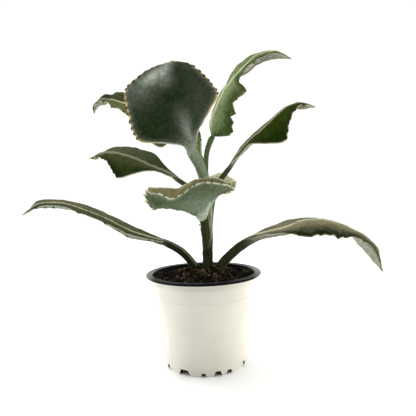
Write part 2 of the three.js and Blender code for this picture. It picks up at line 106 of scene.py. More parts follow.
# Leaves. A petiole station is a point on the upper side and a half width; a blade station is a
# point on the midrib, one on the left margin, one on the right margin, and how far the middle of
# each half is lifted. Left is as seen when looking from the stem to the tip, and is side 1; right
# is side -1. The other values are:
# keel: depth of the petiole as a share of its half width
# petiole: how many of the stations are petiole stations
# toothed: stations where the teeth begin on the left and on the right margin
# tooth, pitch, taper: the teeth's heights, left and right, their spacing, and how far from the
#     leaf's end they begin to shrink
# crown: height of the teeth over a broad end
# wave, veins, ridge: length and height of the waves near the margins, number of side veins, and
#     height of the midrib
# crest: how pale the midrib is above and below, partly as a painted highlight
# plump: how much wider than its stations the petiole is
# spacing, hairs: distance between rows of points, and number of hairs on the petiole
# cut: for a side, stretches of margin with shapes of their own, as stations and offsets
# hem: for a side, where the margin hangs down, as stations and widths
# silver: pale patches of painted light below, as place along, place across, both spreads and
#     strength
COMMON = dict(keel=1.7, taper=8.0, crown=0, wave=(30, 0.15), veins=8, ridge=0.25, plump=1.0,
              spacing=1.0, hairs=0, cut={}, hem={}, underside_light=[])
LEAVES = {
    "leaf_low_left": dict(
        keel=1.4, petiole=4, toothed=(5, 5), tooth=(1.3, 0.3), pitch=11, wave=(34, 0.15), veins=9,
        crest=(1.0, 0.2), plump=1.12, hairs=3500,
        cut={1: [(5.6, 0), (5.85, -0.5), (6.05, 3.4), (6.2, -0.6), (6.75, -0.3), (7.02, 5.5),
            (7.3, -0.5), (7.8, 0)]},
        hem={1: [(3.6, 0), (4.5, 2.0), (5.0, 2.6), (5.6, 1.8), (5.95, 0.9), (6.1, 0), (7.3, 0),
            (7.6, 1.8), (8.8, 2.0), (9.3, 0)]},
        stations=[
            ((2, 0, 76), 3.6), ((-7, 1, 87.5), 4), ((-18, 2, 100), 4), ((-31, 6, 107.5), 3.8),
            ((-45, 11, 111), (-44, 6, 109), (-46, 17, 113)),
            ((-70, 17, 118.5), (-67, 4, 115), (-73, 32, 123)),
            ((-94, 24, 130), (-90, 6, 127), (-100, 44, 135)),
            ((-122, 31, 141), (-117, 11, 138), (-128, 51, 146)),
            ((-147, 37, 147.5), (-140, 23, 144), (-155, 54, 151)),
            ((-171, 42, 147), (-165, 34, 144), (-175, 51, 150)), ((-188, 44, 136), 0.9),
        ]),
    "leaf_low_right": dict(
        keel=1.8, petiole=4, toothed=(6, 6), tooth=(0.3, 1.2), pitch=8.5, wave=(34, 0.15), veins=9,
        crest=(0.95, 0.1), plump=1.12, hairs=3500,
        cut={-1: [(6.0, 0), (6.6, 1.0), (7.3, 2.6), (7.55, 0.2), (7.75, 1.6), (7.95, 0), (8.2, 1.2),
            (8.45, -0.2), (8.72, 5.2), (8.98, 0.2), (9.15, 1.8), (9.4, -0.6), (10.0, -0.4),
            (10.2, 2.4), (10.4, -0.4), (11, 0)]},
        hem={-1: [(3.7, 0), (4.6, 1.9), (5.2, 2.5), (5.8, 1.4), (6.1, 0)]},
        stations=[
            ((6, 0, 76), 3.6), ((15, -1, 90), 4), ((23, -3, 98.5), 4), ((34, -5, 107.5), 4),
            ((46, -9, 113.5), (47, -4, 114), (44, -14, 111)),
            ((57, -13, 116.5), (59, -4, 119), (55, -20, 114)),
            ((73, -18, 121), (78, 2, 125), (72, -32, 116)),
            ((90, -23, 127), (98, -3, 127), (84, -41, 115)),
            ((107, -28, 126), (116, -9, 123), (99, -46, 116)),
            ((121, -32, 121), (128, -14, 115), (112, -48, 114)),
            ((134, -36, 113), (135, -21, 104), (127, -46, 111)),
            ((143, -39, 102), (141, -29, 94), (137, -46, 102)), ((146, -41, 84), 0.9),
        ]),
    "leaf_front_low": dict(
        keel=1.6, petiole=3, toothed=(6, 6), tooth=(0.8, 0.3), pitch=7.0, wave=(30, 0.2), ridge=0.1,
        crest=(0.2, 0.05), spacing=0.8, hairs=2500,
        cut={1: [(9.2, 0), (9.5, -1.4), (9.8, 1.2), (10.15, -1.9), (10.45, 1.7), (10.7, -1.9),
            (10.95, 1.5), (11.25, -2.1), (11.7, 1.0)]},
        underside_light=[(0.05, 0.35, 0.16, 0.75, 0.95), (0.3, 0.3, 0.2, 0.4, 0.25)],
        stations=[
            ((5, 0, 106), 3), ((3, -9, 123), 3.8), ((2, -17, 132), 4.4),
            ((0, -22, 135.5), (12, -25, 145.5), (5, -18, 153)),
            ((-4, -25, 137.5), (21, -33, 152.5), (24, -20, 160), (3, 0)),
            ((-9, -30, 139.5), (28, -40, 154), (26, -20, 159), (3, 0)),
            ((-15, -36, 141), (19, -48, 158), (14, -21, 164.5)),
            ((-21, -43, 141.5), (-1, -54, 159), (-4, -22, 164)),
            ((-26, -49, 142), (-19, -60, 148), (-20, -25, 157)),
            ((-30, -55, 142), (-31, -66, 152), (-33, -36, 157)),
            ((-33, -58, 141.5), (-40, -68, 153), (-41, -46, 157)),
            ((-35, -60, 140.5), (-40, -66, 145), (-38, -56, 148)), ((-36, -61, 139.5), 0.9),
        ]),
    "leaf_back_low": dict(
        petiole=3, toothed=(6, 6), tooth=(1.5, 1.5), pitch=7.0, wave=(26, 0.3), crest=(0.6, 0.3),
        stations=[
            ((5, 0, 107), 3), ((6, 9, 122), 3.6), ((9, 20, 142), 3.4),
            ((12, 31, 158), (6, 31, 158), (18, 30, 158)),
            ((14, 43, 170), (-3, 42, 164), (31, 40, 164)),
            ((20, 58, 175), (-1, 60, 167), (36, 54, 166)),
            ((23, 75, 173), (5, 80, 164), (38, 71, 164)),
            ((24, 91, 165), (13, 95, 157), (34, 87, 156)), ((27, 103, 153), 0.9),
        ]),
    "leaf_mid_left": dict(
        petiole=3, toothed=(7, 6), tooth=(2.4, 0.3), pitch=6.0, crest=(0.6, 0.2),
        stations=[
            ((5, 0, 150), 2.2), ((-8, 2, 159), 2.6), ((-19, 5, 166), 2.6),
            ((-30, 9, 173), (-31, 4, 170), (-34, 14, 180)),
            ((-41, 12, 178), (-41, 1, 174), (-45, 27, 193)),
            ((-54, 15, 184), (-51, -4, 174), (-56, 36, 198)),
            ((-68, 19, 190), (-65, 0, 171), (-71, 41, 203)),
            ((-81, 22, 194), (-77.5, 3, 169.5), (-86, 43, 204)),
            ((-94, 25, 196), (-88.5, 12, 184.5), (-97, 39, 200)),
            ((-102.5, 27, 194), (-100, 22, 191), (-105, 34, 190.5), (0, 6)), ((-111, 29, 191), 0.9),
        ]),
    "leaf_mid_right": dict(
        petiole=3, toothed=(6, 6), tooth=(0.3, 1.9), pitch=6.5, crest=(0.9, 0.2),
        hem={-1: [(2.9, 0), (3.2, 1.5), (3.7, 2.4), (4.1, 0)]},
        stations=[
            ((5, 0, 150), 2.2), ((13, -1, 160), 2.4), ((23, -5, 173), 2.4),
            ((32, -9, 185), (32.3, -5, 187), (34, -12, 184)),
            ((42.5, -15, 196), (41.2, -8, 198.2), (44, -26, 192.5)),
            ((54, -20, 205.5), (54, -12, 209), (57, -33, 191)),
            ((65, -25, 215), (65.5, -18, 217.3), (70, -37, 192.5)),
            ((75, -30, 222), (79, -8, 226.5), (73, -41, 208)),
            ((85, -34, 223), (88, -20, 221.5), (82.5, -38, 220), (7, 0)), ((95, -38, 219), 0.9),
        ]),
    "leaf_front_high": dict(
        petiole=4, toothed=(7, 6), tooth=(1.9, 1.9), pitch=4.6, taper=1.5, crown=0.5, wave=(24, 0.2),
        ridge=0.1, crest=(0.2, 0.0), spacing=0.8, hairs=2500,
        underside_light=[(0.0, 0.1, 0.17, 0.9, 0.75), (0.2, 0.12, 0.17, 0.28, 0.42),
            (0.5, 0.6, 0.5, 0.4, 0.05), (0.80, -0.42, 0.10, 0.28, 0.85), (0.84, -0.2, 0.12, 0.2, 0.9),
            (0.93, -0.12, 0.1, 0.2, 0.7), (0.72, -0.15, 0.08, 0.2, 0.3),
            (0.78, -0.6, 0.16, 0.4, 0.3)],
        stations=[
            ((4, 0, 161), 2.6), ((2, -9, 169), 4), ((-1, -20, 179), 4.4), ((-6, -34, 188), 4.8),
            ((-9, -45, 194), (-1, -44, 200), (-15, -43, 190)),
            ((-12, -57, 204), (4, -50, 207), (-29, -50, 191)),
            ((-15, -69, 214), (10, -57, 215), (-46, -55, 193)),
            ((-16, -78, 222), (15, -65, 223), (-51.5, -64, 211.5)),
            ((-17, -84, 230), (9, -75, 230), (-51, -73, 224.3)),
            ((-17, -86, 236), (-0.5, -83, 236.6), (-40.2, -81, 231.8)),
            ((-16, -84, 239.2), (-9.8, -84, 240.4), (-26, -84, 238.4)),
        ]),
    "leaf_top_left": dict(
        petiole=4, toothed=(6, 6), tooth=(1.5, 0.3), pitch=7.5, crest=(1.0, 0.3),
        cut={1: [(7.6, 0), (8.05, 1.4), (8.5, -1.4), (9.0, 2.6), (9.3, -1.2), (9.8, 0)]},
        stations=[
            ((3, 0, 170), 2), ((-1, 1.5, 181), 2.2), ((-7, 3, 191), 2.4), ((-14, 6, 201), 2.4),
            ((-22, 9, 209), (-26, 5, 202), (-23, 14, 213)),
            ((-30, 12, 215), (-36, 3, 196), (-35, 27, 226)),
            ((-40, 16, 223), (-47, 0, 202), (-42, 35, 238)),
            ((-55, 20, 234), (-59, 3, 217), (-58, 43, 252)),
            ((-70, 25, 242), (-71, 9, 231), (-75, 48, 261)),
            ((-85, 29, 248), (-84, 15, 238), (-88, 47, 261)),
            ((-92, 31.5, 250), (-90.5, 24, 244.5), (-97, 46, 249), (0, 14)),
            ((-99, 34, 251), (-99, 28, 247), (-103.5, 44, 247), (0, 9)),
            ((-108, 37, 246), (-107.5, 34, 243), (-107, 40, 241), (0, 4)), ((-107, 35, 237), 0.9),
        ]),
    "leaf_top_right": dict(
        petiole=4, toothed=(7, 7), tooth=(0.3, 1.6), pitch=7.0, wave=(26, 0.1), crest=(0.95, 0.3),
        spacing=0.7, hairs=1200,
        cut={-1: [(4.7, 0), (4.95, -0.9), (5.2, 0.9), (5.37, -2.0), (5.67, 1.0), (5.87, -3.0),
            (6.23, 3.6), (6.75, -3.0), (7.2, 0.5), (7.3, -0.9), (7.55, 0), (8.0, 1.2), (8.35, 0.3),
            (8.7, 2.0), (8.85, 0.1), (9.4, -1.7), (9.7, -0.2), (9.85, -2.2), (10.3, -2.8),
            (10.6, -0.6), (10.85, 2.4), (11.05, -1.0), (12, 0), (14, 0)]},
        underside_light=[(0.62, 0.7, 0.12, 0.5, 1.0)],
        stations=[
            ((3, 0, 170), 2), ((3.9, -1.2, 185), 2.2), ((6, -1.5, 194), 2.3), ((10, -3, 203), 2.3),
            ((10, -4, 211), (9, 3, 214), (18, -10, 202)),
            ((12, -5, 220), (11, 6, 225), (28, -17, 203)),
            ((16, -8, 230), (15, 9, 236), (29, -22, 217)),
            ((22, -10, 242), (21.3, 9, 248.7), (31, -27, 228)),
            ((26, -11.5, 247), (26, 8, 253), (39.5, -29, 236.5), (2, 0)),
            ((30, -13, 252), (35, 6, 257.5), (35.5, -22, 246), (15, 0)),
            ((39, -17, 260), (46.5, 0, 261.5), (41, -22, 255), (18, 0)),
            ((50, -21, 268), (53.5, -5, 266), (49.5, -27, 261.5), (12, 0)),
            ((62, -25, 270), (64, -14, 267), (61, -30, 266), (7, 0)),
            ((71, -28, 267), (73, -21, 265), (69.5, -32, 264.5), (3, 0)), ((78, -31, 261), 0.9),
        ]),
    "bud_leaf_left": dict(
        petiole=2, toothed=(3, 3), tooth=(0.9, 0.9), pitch=3.0, wave=(12, 0.1), veins=6,
        crest=(0.3, 0.3), spacing=0.5,
        stations=[
            ((2.8, 0, 176.5), 1.3), ((2.4, 0.4, 183), 1.5),
            ((0.2, 3, 191), (1.4, -1.4, 192), (0.4, 7.6, 192)),
            ((-1.4, 3.8, 199), (1.6, -1.8, 200), (0.6, 8.4, 200)),
            ((-1.4, 3.2, 206), (0.8, -0.4, 206), (0.6, 6.6, 207)), ((-0.8, 2.4, 212), 0.7),
        ]),
    "bud_leaf_right": dict(
        petiole=2, toothed=(3, 3), tooth=(0.9, 0.9), pitch=2.8, wave=(12, 0.1), veins=6,
        crest=(0.3, 0.3), spacing=0.5,
        stations=[
            ((3.2, 2.4, 175), 1.2), ((4.2, 5, 181), 1.4),
            ((5.6, 7.4, 187), (5, 10.2, 188), (4, 4.8, 188)),
            ((6, 8, 192), (4.8, 10.8, 193), (3.8, 5, 193)), ((5.4, 7.6, 197), 0.7),
        ]),
}


# Shapes

def spline(points, t):
    """A smooth curve through the points, with t from 0 to 1."""
    points = np.asarray(points, float)
    spans = len(points) - 1
    place = np.clip(t, 0, 1) * spans
    k = np.minimum(place.astype(int), spans - 1)
    w = (place - k)[:, None]
    first = 2 * points[0] - points[1]
    last = 2 * points[-1] - points[-2]
    run = np.vstack([first, points, last])
    a, b, c, d = run[k], run[k + 1], run[k + 2], run[k + 3]
    slope_b, slope_c = (c - a) / 2, (d - b) / 2
    cubic = 2 * b - 2 * c + slope_b + slope_c
    square = -3 * b + 3 * c - 2 * slope_b - slope_c
    return b + slope_b * w + square * w**2 + cubic * w**3


def smooth(low, high, x):
    x = np.clip((x - low) / (high - low), 0, 1)
    return x * x * (3 - 2 * x)


def unit(vectors):
    return vectors / np.maximum(np.linalg.norm(vectors, axis=-1, keepdims=True), 1e-9)


def ripple(points, wavelength, seed, waves=7):
    """A soft random relief between about -1 and 1, the same for the same seed."""
    rng = np.random.default_rng(seed)
    total = np.zeros(points.shape[:-1])
    for _ in range(waves):
        direction = unit(rng.normal(size=3))
        pitch = wavelength * rng.uniform(0.6, 1.5)
        total += np.sin(2 * np.pi * (points @ direction) / pitch + rng.uniform(0, 6.28))
    return total / math.sqrt(waves)


def ring_faces(rows, sides, first=0, flip=False):
    """Quads between the rings of a surface, each ring having the given number of sides."""
    faces = []
    for row in range(rows):
        a = first + row * sides
        for k in range(sides):
            nxt = (k + 1) % sides
            if flip:
                faces.append((a + k, a + sides + k, a + sides + nxt, a + nxt))
            else:
                faces.append((a + k, a + nxt, a + sides + nxt, a + sides + k))
    return faces


def closed_faces(rows, sides, flip=False):
    """Quads between rings, with a flat face on the first and on the last ring."""
    ends = [tuple(range(sides)), tuple(rows * sides + k for k in range(sides))]
    first, last = (ends[0], ends[1][::-1]) if flip else (ends[0][::-1], ends[1])
    return ring_faces(rows, sides, flip=flip) + [first, last]


def length_along(points):
    """The distance from the first point to each point, along the line that they make."""
    return np.concatenate([[0], np.cumsum(np.linalg.norm(np.diff(points, axis=0), axis=1))])


def add_object(name, data):
    made = bpy.data.objects.new(name, data)
    bpy.context.collection.objects.link(made)
    return made


def add_mesh(name, points, faces, materials, fields=None, node=None, flat=False):
    """A smooth-shaded piece from points in millimetres round the pot's axis."""
    mesh = bpy.data.meshes.new(name)
    mesh.from_pydata((np.asarray(points, float) * MM + AXIS).tolist(), [], faces)
    for material in materials:
        mesh.materials.append(material)
    mesh.polygons.foreach_set("use_smooth", np.full(len(mesh.polygons), not flat))
    for key, values in (fields or {}).items():
        attribute = mesh.attributes.new(key, "FLOAT", "POINT")
        attribute.data.foreach_set("value", np.asarray(values, np.float32).ravel())
    mesh.update()
    piece = add_object(name, mesh)
    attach(piece, "root")
    if node:
        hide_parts(node)
    return piece


# Materials

class Graph:
    """Short ways to add and join the shader nodes of a new material or world."""

    def __init__(self, name, owners=bpy.data.materials):
        self.owner = owners.new(name)
        self.owner.use_nodes = True
        self.nodes = self.owner.node_tree.nodes
        self.links = self.owner.node_tree.links
        self.place = self.add("TexCoord").outputs["Object"]

    def feed(self, socket, value):
        if isinstance(value, bpy.types.NodeSocket):
            self.links.new(value, socket)
        else:
            socket.default_value = value

    def fill(self, node, **inputs):
        """Sets a node's inputs to values, or joins them to the outputs of other nodes."""
        for name, value in inputs.items():
            self.feed(node.inputs[name.replace("_", " ")], value)

    def add(self, kind, **inputs):
        node = self.nodes.new("ShaderNode" + kind)
        self.fill(node, **inputs)
        return node

    def field(self, name):
        node = self.add("Attribute")
        node.attribute_name = name
        return node.outputs["Fac"]

    def noise(self, size_mm, detail=3.0, roughness=0.55, stretch=None):
        """Noise whose features are about size_mm across, from 0 to 1."""
        place = self.place
        if stretch:
            place = self.add("Mapping", Vector=place, Scale=stretch).outputs["Vector"]
        scale = 1000.0 / size_mm
        node = self.add("TexNoise", Vector=place, Scale=scale, Detail=detail, Roughness=roughness)
        return node.outputs["Fac"]

    def sum(self, operation, a, b=0.0):
        node = self.add("Math")
        node.operation = operation
        self.feed(node.inputs[0], a)
        self.feed(node.inputs[1], b)
        return node.outputs[0]

    def step(self, value, low, high, start=0.0, end=1.0):
        """Runs smoothly from start to end as the value goes from low to high."""
        node = self.add("MapRange", Value=value, From_Min=low, From_Max=high, To_Min=start, To_Max=end)
        node.interpolation_type = "SMOOTHSTEP"
        return node.outputs["Result"]

    def mix(self, share, a, b, blend="MIX"):
        node = self.add("Mix")
        node.data_type = "RGBA"
        node.blend_type = blend
        self.feed(node.inputs["Factor"], share)
        colours = [s for s in node.inputs if s.type == "RGBA"]
        for socket, value in zip(colours, (a, b)):
            self.feed(socket, (*value, 1.0) if isinstance(value, tuple) else value)
        return next(s for s in node.outputs if s.type == "RGBA")

    def bump(self, height, distance_mm, strength=1.0, under=None):
        node = self.add("Bump", Strength=strength, Distance=distance_mm * MM, Height=height)
        if under is not None:
            self.fill(node, Normal=under)
        return node.outputs["Normal"]

    def finish(self, colour, roughness, normal, **others):
        shader = self.nodes["Principled BSDF"]
        self.fill(shader, Base_Color=colour, Roughness=roughness, Normal=normal, **others)
        return self.owner


# Colours of every felted leaf: rim and midrib, which are partly the felt's own colour and partly
# painted highlight, tooth tips, the painted shade between hairs, and the underside that shows
# along a margin that hangs down
CREAM = (0.50, 0.48, 0.33)
BROWN = (0.040, 0.019, 0.008)
SHADE = (0.50, 0.51, 0.42)
HEM = (0.37, 0.41, 0.33)


def felt(name, near, far, under, pale, stalk, dark=None, rim=CREAM, rim_mm=1.0, burn=1.9,
         turned=False, veins=0.05, crest_colour=CREAM, crest_mm=1.2, fade=0.10, margin_glow=0.0,
         sheen=0.02, mottle=0.08, specks=0.0, base_rim=None):
    """Felted leaf. near and far are the two halves of its upper side, and turned says that the
    near half is on the right; the halves' colours differ partly as painted light and shade. dark
    is near its margin, under and pale belong to its underside, and stalk to its petiole, above and
    below. rim_mm, burn and crest_mm are the widths of its rim, its brown tooth tips and its pale
    midrib; the pale rim and midrib are partly the felt's own colour and partly painted highlight.
    fade is how far along the blade the petiole's colour reaches. veins makes the side veins paler;
    bloom paints rim light that makes the underside paler near its margin, and mottle makes it
    paler in blotches. specks puts brown specks on rim and midrib. base_rim is the rim's colour
    near the leaf's base."""
    g = Graph(name)
    side = g.field("side")
    reach = g.sum("ABSOLUTE", side)
    far_half = g.step(side, -0.12, 0.12) if turned else g.step(side, 0.12, -0.12)
    blotches = g.noise(8, 4)
    fine = g.noise(1.0, 3, 0.7)
    hairs = g.noise(0.32, 2, 0.7)
    pile = g.step(g.noise(2.6, 4, 0.75), 0.32, 0.68, 0.72, 1.28)
    outward = g.sum("ADD", reach, g.sum("MULTIPLY", g.sum("SUBTRACT", blotches, 0.5), 0.35))
    base = g.mix(g.step(outward, 0.15, 0.85), near, dark or near)
    # The two halves of the upper side get colours that differ partly as painted light and shade
    upper = g.mix(far_half, base, far)
    upper = g.mix(g.step(blotches, 0.45, 0.8, 0, 0.2), upper, tuple(c * 1.7 + 0.003 for c in near))
    upper = g.mix(g.sum("MULTIPLY", g.field("vein"), veins), upper, tuple(c * 2 + 0.004 for c in near))
    on_stalk = g.step(g.field("blade"), fade, 0.0)
    upper = g.mix(on_stalk, upper, stalk[0])
    # Pale patches of painted light on the underside
    lower = g.mix(g.field("underside_light"), under, pale)
    lower = g.mix(g.step(blotches, 0.4, 0.8, 0, mottle), lower, pale)
    # Painted rim light: the underside grows paler towards its margin
    lower = g.mix(g.step(g.field("edge"), 0.5, 8, margin_glow, 0), lower, pale)
    lower = g.mix(g.sum("MULTIPLY", g.field("vein"), veins), lower, pale)
    lower = g.mix(on_stalk, lower, stalk[1])
    colour = g.mix(g.step(g.field("under"), 0.3, 0.7), upper, lower)
    uneven = g.sum("MULTIPLY", g.sum("SUBTRACT", fine, 0.5), 0.9)
    marks = g.step(g.noise(3.5, 2), 0.58, 0.64, 0, specks)
    colour = g.mix(g.field("hem"), colour, HEM)
    colour = g.mix(1.0, colour, pile, "MULTIPLY")
    # Pale midrib: partly the felt's own colour, partly a painted highlight
    crest = g.step(g.sum("ADD", g.field("rib"), uneven), crest_mm * 0.4, crest_mm * 1.5, 1, 0)
    crest = g.sum("MULTIPLY", crest, g.field("crest"))
    crest = g.sum("MULTIPLY", crest, g.step(g.field("blade"), 0.0, 0.14, 0.25, 1))
    colour = g.mix(crest, colour, crest_colour)
    colour = g.mix(g.sum("MULTIPLY", crest, marks), colour, BROWN)
    # Pale rim along the margin: partly the felt's own colour, partly painted rim light
    inner = g.sum("ADD", g.field("edge"), uneven)
    border = g.step(inner, rim_mm * 0.4, rim_mm * 1.3, 0.9, 0)
    if base_rim:
        rim = g.mix(g.step(g.field("blade"), 0.30, 0.42), base_rim, rim)
    colour = g.mix(border, colour, rim)
    colour = g.mix(g.sum("MULTIPLY", border, marks), colour, BROWN)
    tips = g.sum("ADD", g.field("tip"), uneven)
    colour = g.mix(g.step(tips, burn * 0.5, burn * 1.2, 0.95, 0), colour, BROWN)
    colour = g.mix(g.step(hairs, 0.3, 0.75, 0.5, 0), colour, SHADE, "MULTIPLY")
    colour = g.mix(g.step(fine, 0.58, 0.82, 0, 0.03), colour, CREAM)
    normal = g.bump(hairs, 0.08, 0.5)
    normal = g.bump(fine, 0.28, 0.45, normal)
    return g.finish(
        colour, g.step(fine, 0.2, 0.8, 0.85, 0.98), normal,
        Sheen_Weight=sheen, Sheen_Roughness=0.35, Sheen_Tint=(0.80, 0.82, 0.68, 1.0),
        Specular_IOR_Level=0.06,
    )


def hair_material():
    g = Graph("felt_hair")
    tone = g.noise(4, 3)
    colour = g.mix(g.step(tone, 0.3, 0.7), (0.05, 0.056, 0.028), (0.24, 0.25, 0.17))
    return g.finish(colour, 0.9, g.bump(tone, 0.02, 0.1), Specular_IOR_Level=0.1)


# Leaves

def tooth_line(along, start, end, size, pitch, rng, taper=8.0):
    """Offsets of a toothed margin, and the places of its tooth tips, from distance along it."""
    offset = np.zeros_like(along)
    tips = []
    place = start + pitch * 0.4
    while place < end - 1.5:
        gap = pitch * rng.uniform(0.72, 1.3)
        height = size * rng.uniform(0.6, 1.25) * smooth(0, taper, end - place)
        before, after = gap * 0.62, gap * 0.42
        reach = np.where(along < place, (place - along) / before, (along - place) / after)
        offset = np.maximum(offset, height * np.clip(1 - reach, 0, 1) ** 1.15)
        tips.append((place, height))
        place += gap
    shown = smooth(start - 2, start + 3, along)
    return (offset - 0.25 * size * shown * smooth(0, taper + 2, end - along)), tips


def ramp(x):
    """How far a point has gone from the midrib to its own margin, with a rounded bend."""
    def bend(y):
        return (y + np.sqrt(y * y + 0.22**2)) / 2

    def rise(y):
        return (bend(y) - bend(-1)) / (bend(1) - bend(-1))

    return rise(x) - rise(0) * (1 - x * x) ** 2


def leaf_rails(spec):
    """Stations as rails: the midrib, both margins and the lift of each half."""
    stations = spec["stations"]
    middle = np.array([s[0] for s in stations], float)
    heading = middle[-1] - middle[0]
    heading[2] = 0
    heading = unit(heading)
    sideways = np.array([-heading[1], heading[0], 0])
    left, right, bow = [], [], []
    for station in stations:
        if isinstance(station[1], tuple):
            left.append(station[1])
            right.append(station[2])
        else:
            half = station[1] * spec["plump"]
            left.append(np.array(station[0]) + sideways * half)
            right.append(np.array(station[0]) - sideways * half)
        bow.append(station[3] if len(station) > 3 else (0, 0))
    return middle, np.array(left, float), np.array(right, float), np.array(bow, float)


def hair_piece(name, roots, ways, lengths, material, seed):
    """Short tapering hairs, each a three-sided sliver, from root points along given directions."""
    rng = np.random.default_rng(seed)
    count = len(roots)
    ways = unit(ways + rng.normal(0, 0.35, (count, 3)))
    aside = unit(np.cross(ways, rng.normal(size=(count, 3))))
    third = np.cross(ways, aside)
    drop = np.array([0, 0, -0.12]) * lengths[:, None]
    girth = 0.035
    corners = [aside, -0.5 * aside + 0.866 * third, -0.5 * aside - 0.866 * third]
    corners = [roots - ways * 0.15 + corner * girth for corner in corners]
    corners.append(roots + ways * lengths[:, None] + drop)
    points = np.stack(corners, axis=1).reshape(-1, 3)
    faces = []
    for k in range(0, 4 * count, 4):
        faces += [(k, k + 1, k + 3), (k + 1, k + 2, k + 3), (k + 2, k, k + 3), (k, k + 2, k + 1)]
    return add_mesh(name, points, faces, [material])


def scatter(rings, share, count, rng):
    """Random places on the rows of a ringed surface, with their outward directions."""
    centre = rings.mean(axis=1, keepdims=True)
    rows, sides = rings.shape[:2]
    row = rng.choice(rows - 1, count, p=share[:-1] / share[:-1].sum())
    side = rng.integers(0, sides, count)
    w, v = rng.uniform(size=(2, count, 1))
    a, b = rings[row, side], rings[row, (side + 1) % sides]
    c, d = rings[row + 1, side], rings[row + 1, (side + 1) % sides]
    place = (a * (1 - v) + b * v) * (1 - w) + (c * (1 - v) + d * v) * w
    return place, unit(place - centre[row, 0])


class Leaf:
    """One leaf as a grid of points, with rows from base to tip and columns from the right margin
    to the left. Its upper side is shaped first, and the underside is set off from it."""

    def __init__(self, spec, rng):
        self.spec = spec
        self.rng = rng
        rails = leaf_rails(spec)
        spans = len(rails[0]) - 1
        last_petiole = spec["petiole"] - 1
        self.petiole_half = spec["stations"][last_petiole][1] * spec["plump"]

        # Rows evenly spaced along the longest of the three rails
        fine = np.linspace(0, 1, 700)
        steps = [np.linalg.norm(np.diff(spline(rail, fine), axis=0), axis=1) for rail in rails[:3]]
        run = np.concatenate([[0], np.cumsum(np.max(steps, axis=0))])
        self.rows = int(run[-1] / spec["spacing"])
        t = np.interp(np.linspace(0, run[-1], self.rows + 1), run, fine)
        mid, lft, rgt, lift = (spline(rail, t) for rail in rails)
        self.station = t * spans
        start = last_petiole / spans
        self.blade = np.clip((t - start) / (1 - start), 0, 1)
        self.on_blade = smooth(0, 0.12, self.blade)
        self.margin = {1: lft, -1: rgt}
        self.aside = {1: lft - mid, -1: rgt - mid}
        self.reach = {side: np.linalg.norm(way, axis=1) for side, way in self.aside.items()}
        self.half = np.linalg.norm(lft - rgt, axis=1) / 2
        self.to_end = length_along(mid[::-1])[::-1]

        # Columns, closer together near the midrib and the margins
        columns = int(np.clip(max(self.reach[1].max(), self.reach[-1].max()) / 0.9, 9, 26))
        v = np.linspace(-1, 1, 2 * columns + 1)
        self.u = u = v - 0.5 * np.sin(2 * np.pi * v) / (2 * np.pi)
        self.size = np.abs(u)
        self.surface = mid[:, None] + ramp(u)[None, :, None] * self.aside[1][:, None]
        self.surface += ramp(-u)[None, :, None] * self.aside[-1][:, None]
        bow = np.where(u[None] > 0, lift[:, :1], lift[:, 1:2])
        self.surface[..., 2] += bow * (2 * u[None]) ** 2 * (1 - self.size[None])
        self.normal = unit(np.cross(np.gradient(self.surface, axis=0),
                                    np.gradient(self.surface, axis=1)))
        self.tips = []

    def shape_margins(self):
        """Teeth, which push the outer part of each half out and in, waves, and hems."""
        spec, surface, size = self.spec, self.surface, self.size
        self.hem = np.zeros(surface.shape[:2])
        self.wave = np.zeros(surface.shape[:2])
        for side, column, inner in ((1, -1, -4), (-1, 0, 3)):
            own = (np.sign(self.u) == side)[None]
            reach = self.reach[side]
            along = length_along(self.margin[side])
            first = 0 if side > 0 else 1
            start = np.interp(spec["toothed"][first], self.station, along)
            tooth = spec["tooth"][first]
            offset, places = tooth_line(
                along, start, along[-1], tooth, spec["pitch"], self.rng, spec["taper"])
            if side in spec["cut"]:
                offset, places = self.cut_margin(spec["cut"][side], along, offset, places)
            offset = offset * smooth(0.5, 6, reach)
            outward = unit(surface[:, column] - surface[:, inner])
            surface += outward[:, None] * (offset[:, None] * smooth(0.35, 1.0, size) * own)[..., None]
            self.add_wave(own, along, start, reach)
            if side in spec["hem"]:
                self.hang_margin(spec["hem"][side], own, reach)
            for place, height in places:
                if height > 0.35 * tooth and tooth > 0.6:
                    self.tips.append(surface[int(np.argmin(np.abs(along - place))), column])

    def cut_margin(self, table, along, offset, places):
        """The margin's offsets and tooth tips, with the table's own shape where it has one."""
        where = [station for station, _ in table]
        shaped = np.interp(self.station, where, [height for _, height in table])
        within = smooth(where[0] - 0.3, where[0], self.station)
        within = within * smooth(where[-1] + 0.3, where[-1], self.station)
        places = [p for p in places if np.interp(p[0], along, within) < 0.5]
        places += [(np.interp(station, self.station, along), 9) for station, height in table
                   if height > 0.2]
        return offset * (1 - within) + shaped * within, places

    def add_wave(self, own, along, start, reach):
        """A long and a short wave near one margin."""
        length = self.spec["wave"][0]
        shown = smooth(start - 12, start + 8, along) * smooth(0, 12, reach)
        swing = np.sin(2 * np.pi * along / length + self.rng.uniform(0, 6.28))
        swing += 0.5 * np.sin(2 * np.pi * along / (length * 0.43) + self.rng.uniform(0, 6.28))
        self.wave += (shown * swing)[:, None] * (smooth(0.3, 1.0, self.size) * own)

    def hang_margin(self, table, own, reach):
        """Lets one margin hang down, so that its underside shows."""
        width = np.interp(self.station, [s for s, _ in table], [mm for _, mm in table])[:, None]
        inward = (1 - self.size[None]) * reach[:, None]
        self.hem += own * smooth(0.1, 0.8, width) * smooth(width + 0.4, width - 0.4, inward)
        hang = np.clip(width - inward, 0, None) * smooth(0.3, 0.9, self.size)[None] * own
        self.surface[..., 2] -= hang

    def shape_end(self):
        """Teeth over a broad end."""
        spec, surface = self.spec, self.surface
        across = length_along(surface[-1])
        crown, places = tooth_line(across, 0, across[-1] + 8, spec["crown"], spec["pitch"], self.rng)
        heading = unit(surface[-1] - surface[-4])
        surface += heading[None] * (crown[None] * smooth(5, 0, self.to_end)[:, None])[..., None]
        self.tips += [surface[-1, int(np.argmin(np.abs(across - place)))] for place, _ in places
                      if place < across[-1]]

